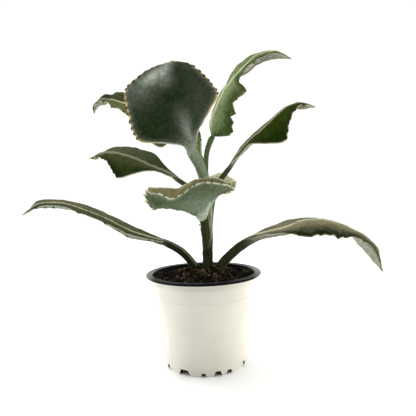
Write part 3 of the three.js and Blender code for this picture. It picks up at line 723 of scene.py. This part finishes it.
    def add_relief(self, seed):
        """Puckers, waves, the midrib, and veins that run out from it."""
        spec, u, size, surface = self.spec, self.u, self.size, self.surface
        phase = (self.blade[:, None] - 0.30 * size[None]) * spec["veins"] + 0.3 * (u[None] > 0)
        off = np.abs(phase - np.round(phase))
        shown = self.on_blade[:, None]
        self.vein = np.exp(-((off / 0.10) ** 2)) * shown * smooth(1.0, 0.75, size)[None]
        self.breadth = np.where(u[None] > 0, self.reach[1][:, None], self.reach[-1][:, None])
        self.rib = size[None] * self.breadth
        self.ridge = np.exp(-((self.rib / 1.2) ** 2)) * shown
        relief = 0.30 * ripple(surface, 15, seed + 1) + 0.12 * ripple(surface, 6, seed + 2)
        relief = relief * shown * smooth(0, 4, self.breadth) + spec["wave"][1] * self.wave
        raised = relief - 0.12 * self.vein + spec["ridge"] * self.ridge
        self.upper = surface + self.normal * raised[..., None]

    def add_underside(self):
        """A round petiole that runs out as a keel under the midrib."""
        spec, size, blade = self.spec, self.size, self.blade
        keel_half = np.minimum(self.half, self.petiole_half)[:, None]
        keel_depth = (spec["keel"] * self.petiole_half * (1 - blade) ** 1.3)[:, None]
        across = np.minimum(1, size[None] * self.half[:, None] / keel_half)
        keel = keel_depth * (1 - across**2) ** np.where(blade > 0, 1.0, 0.5)[:, None]
        edge = 0.6 + 1.0 * (1 - size[None] ** 2)
        self.slim = np.minimum(1, self.half / 2.0)[:, None]
        depth = np.maximum(keel, edge * self.slim)
        depth = depth + 1.8 * spec["ridge"] * self.ridge * (1 - blade)[:, None]
        depth = depth + 0.24 * self.vein * self.slim
        self.lower = self.upper - self.normal * depth[..., None]

    def rings(self):
        """Closed rings of points: along the underside, round the left margin, back along the
        upper side and round the right margin."""
        edges = {}
        for side, column in ((1, -1), (-1, 0)):
            middle = (self.upper[:, column] + self.lower[:, column]) / 2
            edges[side] = (middle + unit(self.aside[side]) * 0.25 * self.slim)[:, None]
        return np.concatenate([self.lower, edges[1], self.upper[:, ::-1], edges[-1]], axis=1)

    def fields(self, points):
        """What the felt is painted by, for every point of the rings."""
        u, blade = self.u, self.blade[:, None]
        whole = np.ones((self.rows + 1, len(u)))

        def ringed(low, rim, top):
            fill = whole[:, :1] * rim
            return np.concatenate([whole * low, fill, (whole * top)[:, ::-1], fill], axis=1).ravel()

        nearest = np.full(len(points), 60.0)
        for tip in self.tips:
            nearest = np.minimum(nearest, np.linalg.norm(points - tip, axis=1))
        # Where the underside gets pale patches of painted light
        underside_light = np.zeros_like(whole)
        for place, across, spread_along, spread_across, strength in self.spec["underside_light"]:
            blob = ((blade - place) / spread_along) ** 2 + ((u[None] - across) / spread_across) ** 2
            underside_light = np.maximum(underside_light, strength * np.exp(-blob))
        from_base = 9 * smooth(0.08, 0.0, blade)
        edge = np.minimum((1 - self.size[None]) * self.breadth, self.to_end[:, None] + 0.3)
        edge = edge + from_base
        above, below = self.spec["crest"]
        return {
            "under": ringed(1, 0.5, 0),
            "side": ringed(u[None], 0, u[None]),
            "edge": ringed(edge, from_base, edge),
            "rib": ringed(self.rib, 20, self.rib),
            "crest": ringed(below, 0, above),
            "vein": ringed(self.vein, 0, self.vein),
            "underside_light": ringed(underside_light, 0, underside_light),
            "hem": ringed(self.hem, 0, self.hem),
            "blade": ringed(blade, blade, blade),
            "tip": nearest,
        }


def leaf_piece(name, seed, material):
    rng = np.random.default_rng(seed)
    leaf = Leaf({**COMMON, **LEAVES[name]}, rng)
    leaf.shape_margins()
    if leaf.spec["crown"]:
        leaf.shape_end()
    leaf.add_relief(seed)
    leaf.add_underside()
    rings = leaf.rings()
    points = rings.reshape(-1, 3)
    faces = closed_faces(leaf.rows, rings.shape[1])
    add_mesh(name + "_felt", points, faces, [material], leaf.fields(points), node=name)
    if leaf.spec["hairs"]:
        share = smooth(0.18, 0.0, leaf.blade) * (np.arange(leaf.rows + 1) > 3) + 1e-6
        place, way = scatter(rings, share, leaf.spec["hairs"], rng)
        lengths = rng.uniform(0.4, 1.1, len(place))
        hair_piece(name + "_hairs", place, way, lengths, HAIR, seed)


# Stem

def stem_piece():
    g = Graph("stem_bark")
    height = g.field("height")
    fine = g.noise(0.8, 3, 0.7)
    streaks = g.noise(2.2, 4, 0.6, (1, 1, 0.25))
    dark = g.mix(g.step(streaks, 0.3, 0.75), (0.008, 0.008, 0.003), (0.036, 0.038, 0.015))
    woolly = g.mix(g.step(streaks, 0.25, 0.7), (0.12, 0.145, 0.082), (0.36, 0.40, 0.28))
    colour = g.mix(g.step(g.sum("ADD", height, g.sum("MULTIPLY", fine, 6.0)), 102, 122), dark, woolly)
    colour = g.mix(g.step(fine, 0.58, 0.8, 0, 0.35), colour, CREAM)
    normal = g.bump(streaks, 0.8, 0.7, g.bump(fine, 0.3, 0.7))
    material = g.finish(colour, g.step(fine, 0.2, 0.8, 0.75, 0.95), normal, Sheen_Weight=0.08,
                        Sheen_Roughness=0.4, Sheen_Tint=(0.8, 0.82, 0.66, 1.0), Specular_IOR_Level=0.12)
    rows, sides = 260, 44
    t = np.linspace(0, 1, rows + 1)
    axis = spline([point for point, _ in STEM], t)
    radius = spline([[r] for _, r in STEM], t)[:, 0]
    for node_z in STEM_NODES:
        radius = radius + 0.35 * np.exp(-(((axis[:, 2] - node_z) / 1.6) ** 2))
    turn = np.linspace(0, 2 * np.pi, sides, endpoint=False)
    ring = np.stack([np.cos(turn), np.sin(turn), np.zeros(sides)], axis=1)
    points = axis[:, None] + ring[None] * radius[:, None, None]
    bumps = 0.18 * ripple(points, 5, 71) + 0.12 * ripple(points * np.array([1, 1, 0.3]), 2.5, 72)
    points = points + ring[None] * bumps[..., None]
    share = smooth(86, 130, axis[:, 2]) + 0.25 * (axis[:, 2] > 84)
    place, way = scatter(points, share, STEM_HAIRS, np.random.default_rng(73))
    lengths = np.random.default_rng(74).uniform(0.4, 1.2, len(place))
    hair_piece("main_stem_hairs", place, way, lengths, HAIR, 75)
    add_mesh("main_stem_bark", points.reshape(-1, 3), closed_faces(rows, sides), [material],
             {"height": points[..., 2].ravel()}, node="main_stem")


def stub_piece():
    """The dried stub of a fallen scale, on the left of the low front petiole."""
    rows, sides = 8, 14
    turn = np.linspace(0, 2 * np.pi, sides, endpoint=False)
    rings = []
    for share in np.linspace(0, 1, rows + 1):
        middle = np.array([-1.6 - 1.9 * share, -9.3, 123.6 + 1.3 * share - 1.6 * share**2])
        girth = 0.75 * math.sqrt(1.02 - share) * (1 + 0.3 * math.sin(9 * share))
        rings.append([middle + girth * np.array([0, math.cos(a), math.sin(a)]) for a in turn])
    points = np.array(rings)
    points += 0.08 * ripple(points, 1.3, 77)[..., None]
    g = Graph("stub_bark")
    grain = g.noise(0.5, 3, 0.7)
    bark = g.mix(g.step(grain, 0.3, 0.7), (0.020, 0.012, 0.006), (0.085, 0.055, 0.03))
    material = g.finish(bark, 0.9, g.bump(grain, 0.15, 0.8), Specular_IOR_Level=0.1)
    add_mesh("scale_stub", points.reshape(-1, 3), closed_faces(rows, sides, flip=True), [material])


# Pot

def lathe(profile, sides):
    """Points and faces of a closed turned solid from (radius, z) points on a closed outline."""
    turn = np.linspace(0, 2 * np.pi, sides, endpoint=False)
    points = []
    for radius, z in profile:
        points += [(radius * math.cos(a), radius * math.sin(a), z) for a in turn]
    faces = ring_faces(len(profile) - 1, sides)
    last = (len(profile) - 1) * sides
    faces += [(last + k, last + (k + 1) % sides, (k + 1) % sides, k) for k in range(sides)]
    return points, faces


def rounded(outline, radius):
    """The closed outline with each corner rounded off, in four short steps."""
    steps = 4
    made = []
    corners = [np.array(p, float) for p in outline]
    for k, corner in enumerate(corners):
        before, after = corners[k - 1], corners[(k + 1) % len(corners)]
        to_before, to_after = before - corner, after - corner
        cut = min(radius, 0.45 * np.linalg.norm(to_before), 0.45 * np.linalg.norm(to_after))
        start = corner + unit(to_before) * cut
        end = corner + unit(to_after) * cut
        for step in range(steps + 1):
            w = step / steps
            made.append(tuple((1 - w) ** 2 * start + 2 * w * (1 - w) * corner + w**2 * end))
    return made


def plastic(name, colour, tint, roughness, dusty, gloss, end_reflection=0.0, collar_shade=0.0):
    """Moulded plastic; scuffed paints a reflection that makes the flange's two ends paler, and grimy
    paints shade that darkens the angle under the collar."""
    g = Graph(name)
    cloudy = g.noise(30, 3)
    grain = g.noise(0.6, 2, 0.6)
    rings = g.noise(1.4, 3, 0.6, (0.02, 0.02, 1))
    specks = g.step(g.noise(1.6, 2), 0.70, 0.78, 0, 0.35)
    paint = g.mix(g.step(cloudy, 0.3, 0.7, 0, 0.6), colour, tint)
    paint = g.mix(g.sum("MULTIPLY", specks, dusty), paint, (0.25, 0.2, 0.13))
    # Painted reflection: the flange's left and right ends are paler
    if end_reflection:
        ends = g.step(g.sum("ADD", g.field("ends"), g.sum("MULTIPLY", cloudy, 0.1)), 0.80, 1.06)
        paint = g.mix(g.sum("MULTIPLY", ends, end_reflection), paint, (0.24, 0.24, 0.23))
    # Painted shade: a darker band in the angle under the collar
    if collar_shade:
        height = g.add("SeparateXYZ", Vector=g.place).outputs["Z"]
        away = g.sum("ABSOLUTE", g.sum("SUBTRACT", height, (COLLAR_Z - 0.1) * MM))
        paint = g.mix(g.step(away, 0.3 * MM, 1.3 * MM, collar_shade, 0), paint, (0.30, 0.285, 0.235))
    normal = g.bump(rings, 0.06, 0.35, g.bump(grain, 0.03, 0.35))
    return g.finish(paint, g.step(grain, 0.3, 0.7, roughness - 0.05, roughness + 0.08), normal,
                    Specular_IOR_Level=gloss)


def add_prism(points, faces, low, high):
    """Adds the closed solid between two outlines that have the same number of points."""
    base = len(points)
    points += [*low, *high]
    for face in closed_faces(1, len(low)):
        faces.append(tuple(base + k for k in face))


def pot_cutter():
    """Points and faces of everything that is cut out of the pot: notches and drain holes."""
    points, faces = [], []
    for third in range(3):
        for azimuth, width, height in HEEL_NOTCHES:
            a = math.radians(azimuth + 120 * third)
            out = np.array([math.cos(a), math.sin(a), 0])
            side = np.array([-math.sin(a), math.cos(a), 0])
            corners = [side * across * width + np.array([0, 0, z])
                       for across, z in ((-0.55, -1), (0.55, -1), (0.3, height), (-0.3, height))]
            near, far = FLOOR_RADIUS - 0.5, HEEL_RADIUS + 2.6
            add_prism(points, faces, [out * near + c for c in corners], [out * far + c for c in corners])
    turn = np.linspace(0, 2 * np.pi, 24, endpoint=False)
    for k in range(DRAIN_HOLES):
        a = 2 * math.pi * k / DRAIN_HOLES
        x = DRAIN_CIRCLE * math.cos(a) + DRAIN_RADIUS * np.cos(turn)
        y = DRAIN_CIRCLE * math.sin(a) + DRAIN_RADIUS * np.sin(turn)
        add_prism(points, faces, *(np.stack([x, y, np.full(24, z)], axis=1)
                                   for z in (FLOOR_Z - 2, FLOOR_Z + 3)))
    return points, faces


def pot_piece():
    outline = [
        (0.05, FLOOR_Z), (FLOOR_RADIUS, FLOOR_Z), (FLOOR_RADIUS + 1.4, 0.0), (HEEL_RADIUS, 0.0),
        (BODY_TOP_RADIUS, COLLAR_Z), (BODY_TOP_RADIUS + 0.9, COLLAR_Z + 0.6),
        (COLLAR_RADIUS - 0.15, 72.0), (COLLAR_RADIUS + 0.1, 72.5), (COLLAR_RADIUS, 74.5),
        (COLLAR_RADIUS + 0.1, LIP_Z), (RIM_RADIUS, LIP_Z), (RIM_RADIUS, POT_HEIGHT),
        (MOUTH_RADIUS - 0.6, POT_HEIGHT), (BODY_TOP_RADIUS - 0.1, COLLAR_Z + 0.8),
        (BODY_TOP_RADIUS - WALL, COLLAR_Z), (HEEL_RADIUS - WALL, WALL), (FLOOR_RADIUS + 2.2, WALL),
        (FLOOR_RADIUS + 0.8, FLOOR_Z + WALL), (0.05, FLOOR_Z + WALL),
    ]
    points, faces = lathe(rounded(outline, 0.55), 240)
    white = plastic("pot_white", (0.65, 0.64, 0.565), (0.60, 0.59, 0.515), 0.42, 0.12, 0.35,
                    collar_shade=0.17)
    black = plastic("pot_black", (0.0016, 0.0016, 0.003), (0.003, 0.003, 0.006), 0.5, 0.5, 0.03,
                    end_reflection=1.0)
    # Painted highlight: a thin pale-grey ring on the mouth's inner edge
    lip_highlight = plastic("pot_lip_highlight", (0.16, 0.16, 0.15), (0.22, 0.22, 0.20), 0.45, 0.3, 0.2)
    ends = np.abs(np.array(points)[:, 0]) / RIM_RADIUS * (np.array(points)[:, 2] > LIP_Z - 1)
    body = add_mesh("pot_moulded", points, faces, [white, black, lip_highlight], {"ends": ends},
                    node="pot")
    cutter_points, cutter_faces = pot_cutter()
    cutter_mesh = bpy.data.meshes.new("notch_cutter")
    cutter_mesh.from_pydata((np.array(cutter_points) * MM + AXIS).tolist(), [], cutter_faces)
    cutter = add_object("notch_cutter", cutter_mesh)
    cut = body.modifiers.new("notches", "BOOLEAN")
    cut.operation = "DIFFERENCE"
    cut.solver = "EXACT"
    cut.object = cutter
    shaped = bpy.data.meshes.new_from_object(body.evaluated_get(bpy.context.evaluated_depsgraph_get()))
    body.modifiers.clear()
    body.data = shaped
    bpy.data.objects.remove(cutter)

    # The inside, the raised floor, the flange and the lip are black; the outer side is white. The
    # underside of the raised floor and the faces inside the foot ring are black too, partly as the
    # pot's black layer and partly as painted shade that makes the notches look dark.
    for face in shaped.polygons:
        centre = (np.array(face.center) - AXIS) / MM
        radius = math.hypot(centre[0], centre[1])
        z = centre[2]
        outward = (face.normal.x * centre[0] + face.normal.y * centre[1]) / max(radius, 1e-6)
        inside = outward < -0.3 or radius < 32 or (z < 5 and radius < HEEL_RADIUS - 0.8)
        lip = radius > COLLAR_RADIUS + 0.8 and z > LIP_Z - 0.3
        face.material_index = 1 if inside or lip or z > POT_HEIGHT - 0.6 else 0
        # The pale-grey ring round the mouth's inner edge is a painted highlight
        if abs(radius - MOUTH_RADIUS + 0.2) < 0.55 and z > POT_HEIGHT - 0.35:
            face.material_index = 2
        face.use_smooth = True
    shaped.set_sharp_from_angle(angle=math.radians(38))


# Soil

def soil_height(x, y):
    radius = np.hypot(x, y)
    azimuth = np.degrees(np.arctan2(y, x))
    share = np.minimum(1, radius / MOUTH_RADIUS)
    edge = SOIL_EDGE_Z * np.ones_like(radius)
    for angle, spread, depth in SOIL_DIPS:
        edge = edge - depth * share**3 * np.exp(-(((azimuth - angle) / spread) ** 2))
    mound = np.exp(-((radius / SOIL_MOUND_SPREAD) ** 2))
    broad = np.sin(x * 0.31 + 1.1) * np.cos(y * 0.27 - 0.4)
    fine = 0.6 * np.sin(x * 0.13 - y * 0.52 + 2)
    return edge + (SOIL_MIDDLE_Z - edge) * mound + 0.8 * (broad + fine)


def earth(name, dark, light):
    g = Graph(name)
    clumps = g.noise(3.2, 5, 0.65)
    grit = g.noise(0.7, 3, 0.7)
    tone = g.field("tone")
    colour = g.mix(g.step(clumps, 0.35, 0.7), dark, light)
    colour = g.mix(g.sum("MULTIPLY", tone, 0.9), colour, (0.36, 0.25, 0.115))
    colour = g.mix(g.step(grit, 0.35, 0.7, 0.85, 0), colour, (0.0015, 0.0012, 0.001))
    normal = g.bump(clumps, 0.8, 0.8, g.bump(grit, 0.4, 0.9))
    return g.finish(colour, g.step(grit, 0.3, 0.7, 0.8, 0.98), normal, Specular_IOR_Level=0.08)


def soil_bed():
    material = earth("soil_mix", (0.0018, 0.0014, 0.0012), (0.009, 0.006, 0.004))
    sides, rings = 220, 120
    turn = np.linspace(0, 2 * np.pi, sides, endpoint=False)
    reach = SOIL_RADIUS * np.linspace(1 / rings, 1, rings)
    x = reach[:, None] * np.cos(turn)[None]
    y = reach[:, None] * np.sin(turn)[None]
    flat = np.stack([x, y, np.zeros_like(x)], axis=-1)
    inner = smooth(0, 1, (SOIL_RADIUS + 0.5 - reach) / 2.5)[:, None]
    rough = 0.55 * ripple(flat, 9, 31) + 0.55 * ripple(flat, 3.6, 32, 11)
    rough += 0.4 * ripple(flat, 1.7, 33, 13)
    z = soil_height(x, y) + rough * (0.35 + 0.65 * inner)
    points = [(0, 0, float(soil_height(np.zeros(1), np.zeros(1))[0]))]
    points += np.stack([x, y, z], axis=-1).reshape(-1, 3).tolist()
    wall = ((BODY_TOP_RADIUS - 0.4, COLLAR_Z + 0.8), (BODY_TOP_RADIUS - 1.3, COLLAR_Z),
            (SOIL_FOOT_RADIUS, SOIL_FOOT_Z))
    for radius, height in wall:
        points += [(radius * math.cos(a), radius * math.sin(a), height) for a in turn]
    faces = [(0, 1 + k, 1 + (k + 1) % sides) for k in range(sides)]
    rows = rings + len(wall) - 1
    faces += ring_faces(rows, sides, first=1, flip=True)
    last = 1 + rows * sides
    faces.append(tuple(last + k for k in range(sides))[::-1])
    tone = np.clip(0.5 * ripple(np.array(points), 7, 34) - 0.1, 0, 1) * 0.5
    add_mesh("soil_bed", points, faces, [material], {"tone": tone}, node="soil")


def ball_mesh():
    """Points and faces of a ball: an icosahedron with each face split in four."""
    golden = (1 + math.sqrt(5)) / 2
    corners = [np.roll((0, a, b * golden), turn) for turn in range(3) for a in (-1, 1) for b in (-1, 1)]
    points = [unit(corner) for corner in corners]
    faces, halves = [], {}

    def halfway(a, b):
        key = (min(a, b), max(a, b))
        if key not in halves:
            halves[key] = len(points)
            points.append(unit((points[a] + points[b]) / 2))
        return halves[key]

    for a, b, c in itertools.combinations(range(12), 3):
        sides = [np.linalg.norm(corners[j] - corners[k]) for j, k in ((a, b), (b, c), (c, a))]
        if max(sides) > 2.01:
            continue
        if np.linalg.det([corners[a], corners[b], corners[c]]) < 0:
            b, c = c, b
        ab, bc, ca = halfway(a, b), halfway(b, c), halfway(c, a)
        faces += [(a, ab, ca), (b, bc, ab), (c, ca, bc), (ab, bc, ca)]
    return np.array(points), faces


def soil_crumbs(rng):
    """Small dented lumps, larger and more golden near the stem."""
    ball, ball_faces = ball_mesh()
    hollow, hollow_spread, _ = SOIL_DIPS[0]
    points, faces, tones = [], [], []
    for k in range(CRUMBS):
        near = k < CRUMBS_BY_STEM
        radius = abs(rng.normal(0, 13)) + 4 if near else CRUMB_REACH * math.sqrt(rng.uniform(0.01, 1))
        azimuth = rng.uniform(0, 2 * np.pi)
        if radius > HOLLOW_START and abs(math.degrees(azimuth) - hollow) < hollow_spread:
            continue
        sizes = [0.7, 1.1, 1.6, 2.4] if near else [0.4, 0.6, 0.9, 1.5]
        scale = rng.choice(sizes, p=[0.35, 0.3, 0.22, 0.13]) * rng.uniform(0.8, 1.2)
        radius = min(radius, SOIL_RADIUS - 0.3 - scale)
        x, y = radius * math.cos(azimuth), radius * math.sin(azimuth)
        z = float(soil_height(np.array([x]), np.array([y]))[0]) + 0.35 * scale
        lump = ball * (1 + 0.30 * ripple(ball * 3 + k, 2.2, 900 + k, 4))[:, None]
        lump = lump * rng.uniform(0.35, 1.2, 3) * scale
        spin = Matrix.Rotation(rng.uniform(0, 6.28), 3, Vector(rng.normal(size=3)))
        base = len(points)
        points += (lump @ np.array(spin) + np.array([x, y, z])).tolist()
        faces += [(base + a, base + b, base + c) for a, b, c in ball_faces]
        golden_share = 0.36 if near else 0.10
        tone = rng.uniform(0.4, 1) if rng.uniform() < golden_share else rng.uniform(0, 0.07)
        tones += [float(tone)] * len(ball)
    crumbs = earth("soil_crumb", (0.0016, 0.0012, 0.0010), (0.010, 0.0065, 0.0035))
    add_mesh("soil_crumbs", points, faces, [crumbs], {"tone": np.array(tones)}, flat=True)


def soil_fibres(rng):
    """Fibres of coir that lie over the crumbs."""
    points, faces, tones = [], [], []
    for _ in range(FIBRES):
        radius = min(FIBRE_REACH - 1, abs(rng.normal(0, 20)) + 3)
        azimuth = rng.uniform(0, 2 * np.pi)
        direction = rng.uniform(0, 2 * np.pi)
        length = rng.uniform(3, 9)
        bend = rng.uniform(-0.25, 0.25)
        place = np.array([radius * math.cos(azimuth), radius * math.sin(azimuth)])
        faces += ring_faces(7, 3, first=len(points))
        for step in range(8):
            direction += bend
            place = place + np.array([math.cos(direction), math.sin(direction)]) * length / 7
            out = np.linalg.norm(place)
            if out > FIBRE_REACH:
                place = place * FIBRE_REACH / out
            z = float(soil_height(place[:1], place[1:])[0]) + 0.9 + 0.8 * math.sin(step / 7 * math.pi)
            girth = 0.13 * (1 - abs(step - 3.5) / 5)
            for corner in range(3):
                a = 2.094 * corner
                off = girth * math.cos(a)
                points.append((place[0] + off, place[1] + off, z + girth * math.sin(a)))
        tones += [float(rng.uniform(0.3, 1))] * 24
    fibres = earth("soil_fibre", (0.05, 0.03, 0.014), (0.20, 0.13, 0.06))
    add_mesh("soil_fibres", points, faces, [fibres], {"tone": np.array(tones)})


# Every leaf's colours, and the pieces in the order in which they are made

HAIR = hair_material()
BUD = dict(
    near=(0.14, 0.21, 0.035), far=(0.14, 0.21, 0.035), under=(0.13, 0.18, 0.045),
    pale=(0.26, 0.32, 0.12), stalk=((0.15, 0.20, 0.08), (0.13, 0.18, 0.07)), sheen=0.05)
# One felt gets very different colours from leaf to leaf, such as the very dark underside of
# leaf_front_high and the pale one of leaf_top_right: these differences are partly painted light and
# shade
LOOKS = {
    "leaf_low_left": dict(
        near=(0.055, 0.060, 0.019), far=(0.075, 0.077, 0.038), under=(0.24, 0.27, 0.20),
        pale=(0.40, 0.43, 0.34), dark=(0.022, 0.030, 0.005), rim=(0.36, 0.38, 0.27), rim_mm=0.9,
        stalk=((0.040, 0.042, 0.020), (0.018, 0.021, 0.008)), fade=0.24, crest_mm=1.5, burn=1.7,
        crest_colour=(0.52, 0.47, 0.32), specks=0.85),
    "leaf_low_right": dict(
        near=(0.25, 0.235, 0.135), far=(0.125, 0.12, 0.072), under=(0.34, 0.37, 0.30),
        pale=(0.60, 0.63, 0.54), dark=(0.008, 0.015, 0.0015), crest_mm=2.2,
        stalk=((0.088, 0.092, 0.048), (0.040, 0.045, 0.020)), turned=True, fade=0.26, burn=1.3,
        crest_colour=(0.56, 0.52, 0.37), specks=0.5, rim=(0.27, 0.25, 0.15)),
    "leaf_front_low": dict(
        near=(0.18, 0.17, 0.075), far=(0.26, 0.235, 0.12), under=(0.082, 0.110, 0.056),
        pale=(0.56, 0.64, 0.50), stalk=((0.10, 0.12, 0.07), (0.036, 0.042, 0.014)),
        rim=(0.68, 0.69, 0.50), rim_mm=1.5, burn=1.3, fade=0.03, margin_glow=0.12, veins=0.0, specks=0.5),
    "leaf_back_low": dict(
        near=(0.38, 0.365, 0.23), far=(0.38, 0.365, 0.23), under=(0.24, 0.26, 0.135),
        pale=(0.34, 0.36, 0.24), stalk=((0.15, 0.17, 0.10), (0.12, 0.14, 0.08)),
        dark=(0.16, 0.18, 0.08), rim=(0.55, 0.54, 0.36)),
    "leaf_mid_left": dict(
        near=(0.080, 0.094, 0.028), far=(0.068, 0.084, 0.036), under=(0.12, 0.145, 0.09),
        pale=(0.36, 0.39, 0.31), dark=(0.010, 0.025, 0.0004), crest_mm=2.2,
        stalk=((0.12, 0.14, 0.075), (0.050, 0.068, 0.032)), fade=0.2, burn=2.2),
    "leaf_mid_right": dict(
        near=(0.036, 0.058, 0.004), far=(0.15, 0.150, 0.080), under=(0.24, 0.27, 0.20),
        pale=(0.60, 0.63, 0.60), dark=(0.012, 0.028, 0.0006), crest_mm=1.1,
        stalk=((0.095, 0.120, 0.065), (0.055, 0.078, 0.040)), turned=True, fade=0.12, burn=2.1),
    "leaf_front_high": dict(
        near=(0.05, 0.065, 0.03), far=(0.05, 0.065, 0.03), under=(0.0105, 0.021, 0.0050),
        pale=(0.50, 0.55, 0.47), stalk=((0.26, 0.30, 0.20), (0.235, 0.30, 0.20)),
        rim=(0.54, 0.41, 0.19), rim_mm=1.8, burn=2.0, veins=0.0, margin_glow=0.12, mottle=0.02,
        base_rim=(0.50, 0.56, 0.42)),
    "leaf_top_left": dict(
        near=(0.105, 0.118, 0.045), far=(0.034, 0.048, 0.008), under=(0.33, 0.345, 0.34),
        pale=(0.52, 0.54, 0.55), stalk=((0.10, 0.12, 0.07), (0.08, 0.10, 0.05)), crest_mm=1.5,
        crest_colour=(0.55, 0.56, 0.38)),
    "leaf_top_right": dict(
        near=(0.235, 0.31, 0.145), far=(0.15, 0.185, 0.070), under=(0.36, 0.375, 0.38),
        pale=(0.68, 0.71, 0.73), dark=(0.045, 0.075, 0.014), crest_mm=2.0, veins=0.03,
        crest_colour=(0.58, 0.62, 0.38), rim=(0.36, 0.32, 0.15), rim_mm=0.7, burn=1.0,
        stalk=((0.12, 0.17, 0.085), (0.10, 0.145, 0.065)), turned=True),
    "bud_leaf_left": BUD,
    "bud_leaf_right": BUD,
}
for seed, (name, look) in enumerate(LOOKS.items()):
    leaf_piece(name, 11 * seed + 5, felt(name + "_felt", **look))
stem_piece()
stub_piece()
pot_piece()
soil_bed()
soil_rng = np.random.default_rng(35)
soil_crumbs(soil_rng)
soil_fibres(soil_rng)


# Floor, light and camera

def stage_floor():
    mesh = bpy.data.meshes.new("floor")
    reach = 6.0
    corners = [(-reach, -reach, 0), (reach, -reach, 0), (reach, reach, 0), (-reach, reach, 0)]
    mesh.from_pydata(corners, [], [(0, 1, 2, 3)])
    g = Graph("floor_paper")
    paper = g.mix(g.step(g.noise(20, 3), 0.3, 0.7), (0.955, 0.955, 0.95), (0.97, 0.97, 0.965))
    mesh.materials.append(g.finish(paper, 0.6, g.bump(g.noise(1.5), 0.03, 0.1)))
    floor = add_object("floor", mesh)


def area_light(name, place, target, size, power, colour=(1, 1, 1), spread=180):
    lamp = bpy.data.lights.new(name, "AREA")
    lamp.shape = "DISK"
    lamp.size = size
    lamp.energy = power
    lamp.color = colour
    lamp.spread = math.radians(spread)
    holder = add_object(name, lamp)
    holder.location = place
    holder.rotation_euler = (target - place).to_track_quat("-Z", "Y").to_euler()


def studio_world():
    """Bright above, behind and at the sides, and dimmer on the camera's side."""
    g = Graph("studio", bpy.data.worlds)
    bpy.context.scene.world = g.owner
    direction = g.place.node.outputs["Generated"]
    depth = g.add("SeparateXYZ", Vector=direction).outputs["Y"]
    surround = g.nodes["Background"]
    g.fill(surround, Color=(1, 1, 1, 1), Strength=g.step(depth, -0.95, 0.25, 0.15, 1.6))
    backdrop = g.add("Background", Color=(1, 1, 1, 1), Strength=1.1)
    choose = g.add("MixShader", Fac=g.add("LightPath").outputs["Is Camera Ray"])
    g.feed(choose.inputs[1], surround.outputs[0])
    g.feed(choose.inputs[2], backdrop.outputs[0])
    g.fill(g.nodes["World Output"], Surface=choose.outputs[0])


def photo_camera():
    """Stands before the plant, looks along +y and a little down, and is tilted a little."""
    lens = bpy.data.cameras.new("camera")
    lens.sensor_width = 36
    lens.lens = 31.02
    lens.clip_start = 0.01
    pitch, roll = 0.0182, 0.0278
    ahead = Vector((0, math.cos(pitch), -math.sin(pitch)))
    above = Vector((0, math.sin(pitch), math.cos(pitch)))
    beside = Vector((1, 0, 0))
    x_axis = beside * math.cos(roll) - above * math.sin(roll)
    y_axis = beside * math.sin(roll) + above * math.cos(roll)
    facing = Matrix((x_axis, y_axis, -ahead)).transposed().to_4x4()
    place = Vector(AXIS) + Vector((5.7, -330, 144.5)) * MM
    camera = add_object("camera", lens)
    camera.matrix_world = Matrix.Translation(place) @ facing
    bpy.context.scene.camera = camera


stage_floor()
studio_world()
photo_camera()
centre = Vector((AXIS[0], AXIS[1], 0.14))
area_light("key", centre + Vector((-0.5, 0.45, 1.1)), centre, 0.8, 9)
area_light("left", centre + Vector((-1.2, 0.35, 0.3)), centre, 0.8, 5)
area_light("right", centre + Vector((1.2, 0.35, 0.35)), centre, 0.8, 5)
low = Vector((AXIS[0], AXIS[1], 0.035))
area_light("low_left", low + Vector((-0.75, -0.12, 0.02)), low, 0.12, 0.018, (1, 0.99, 0.96), spread=16)
area_light("low_right", low + Vector((0.72, -0.25, 0.02)), low, 0.12, 0.028, (1, 0.94, 0.82), spread=16)
bpy.context.scene.view_settings.view_transform = "Standard"

bpy.context.view_layer.update()
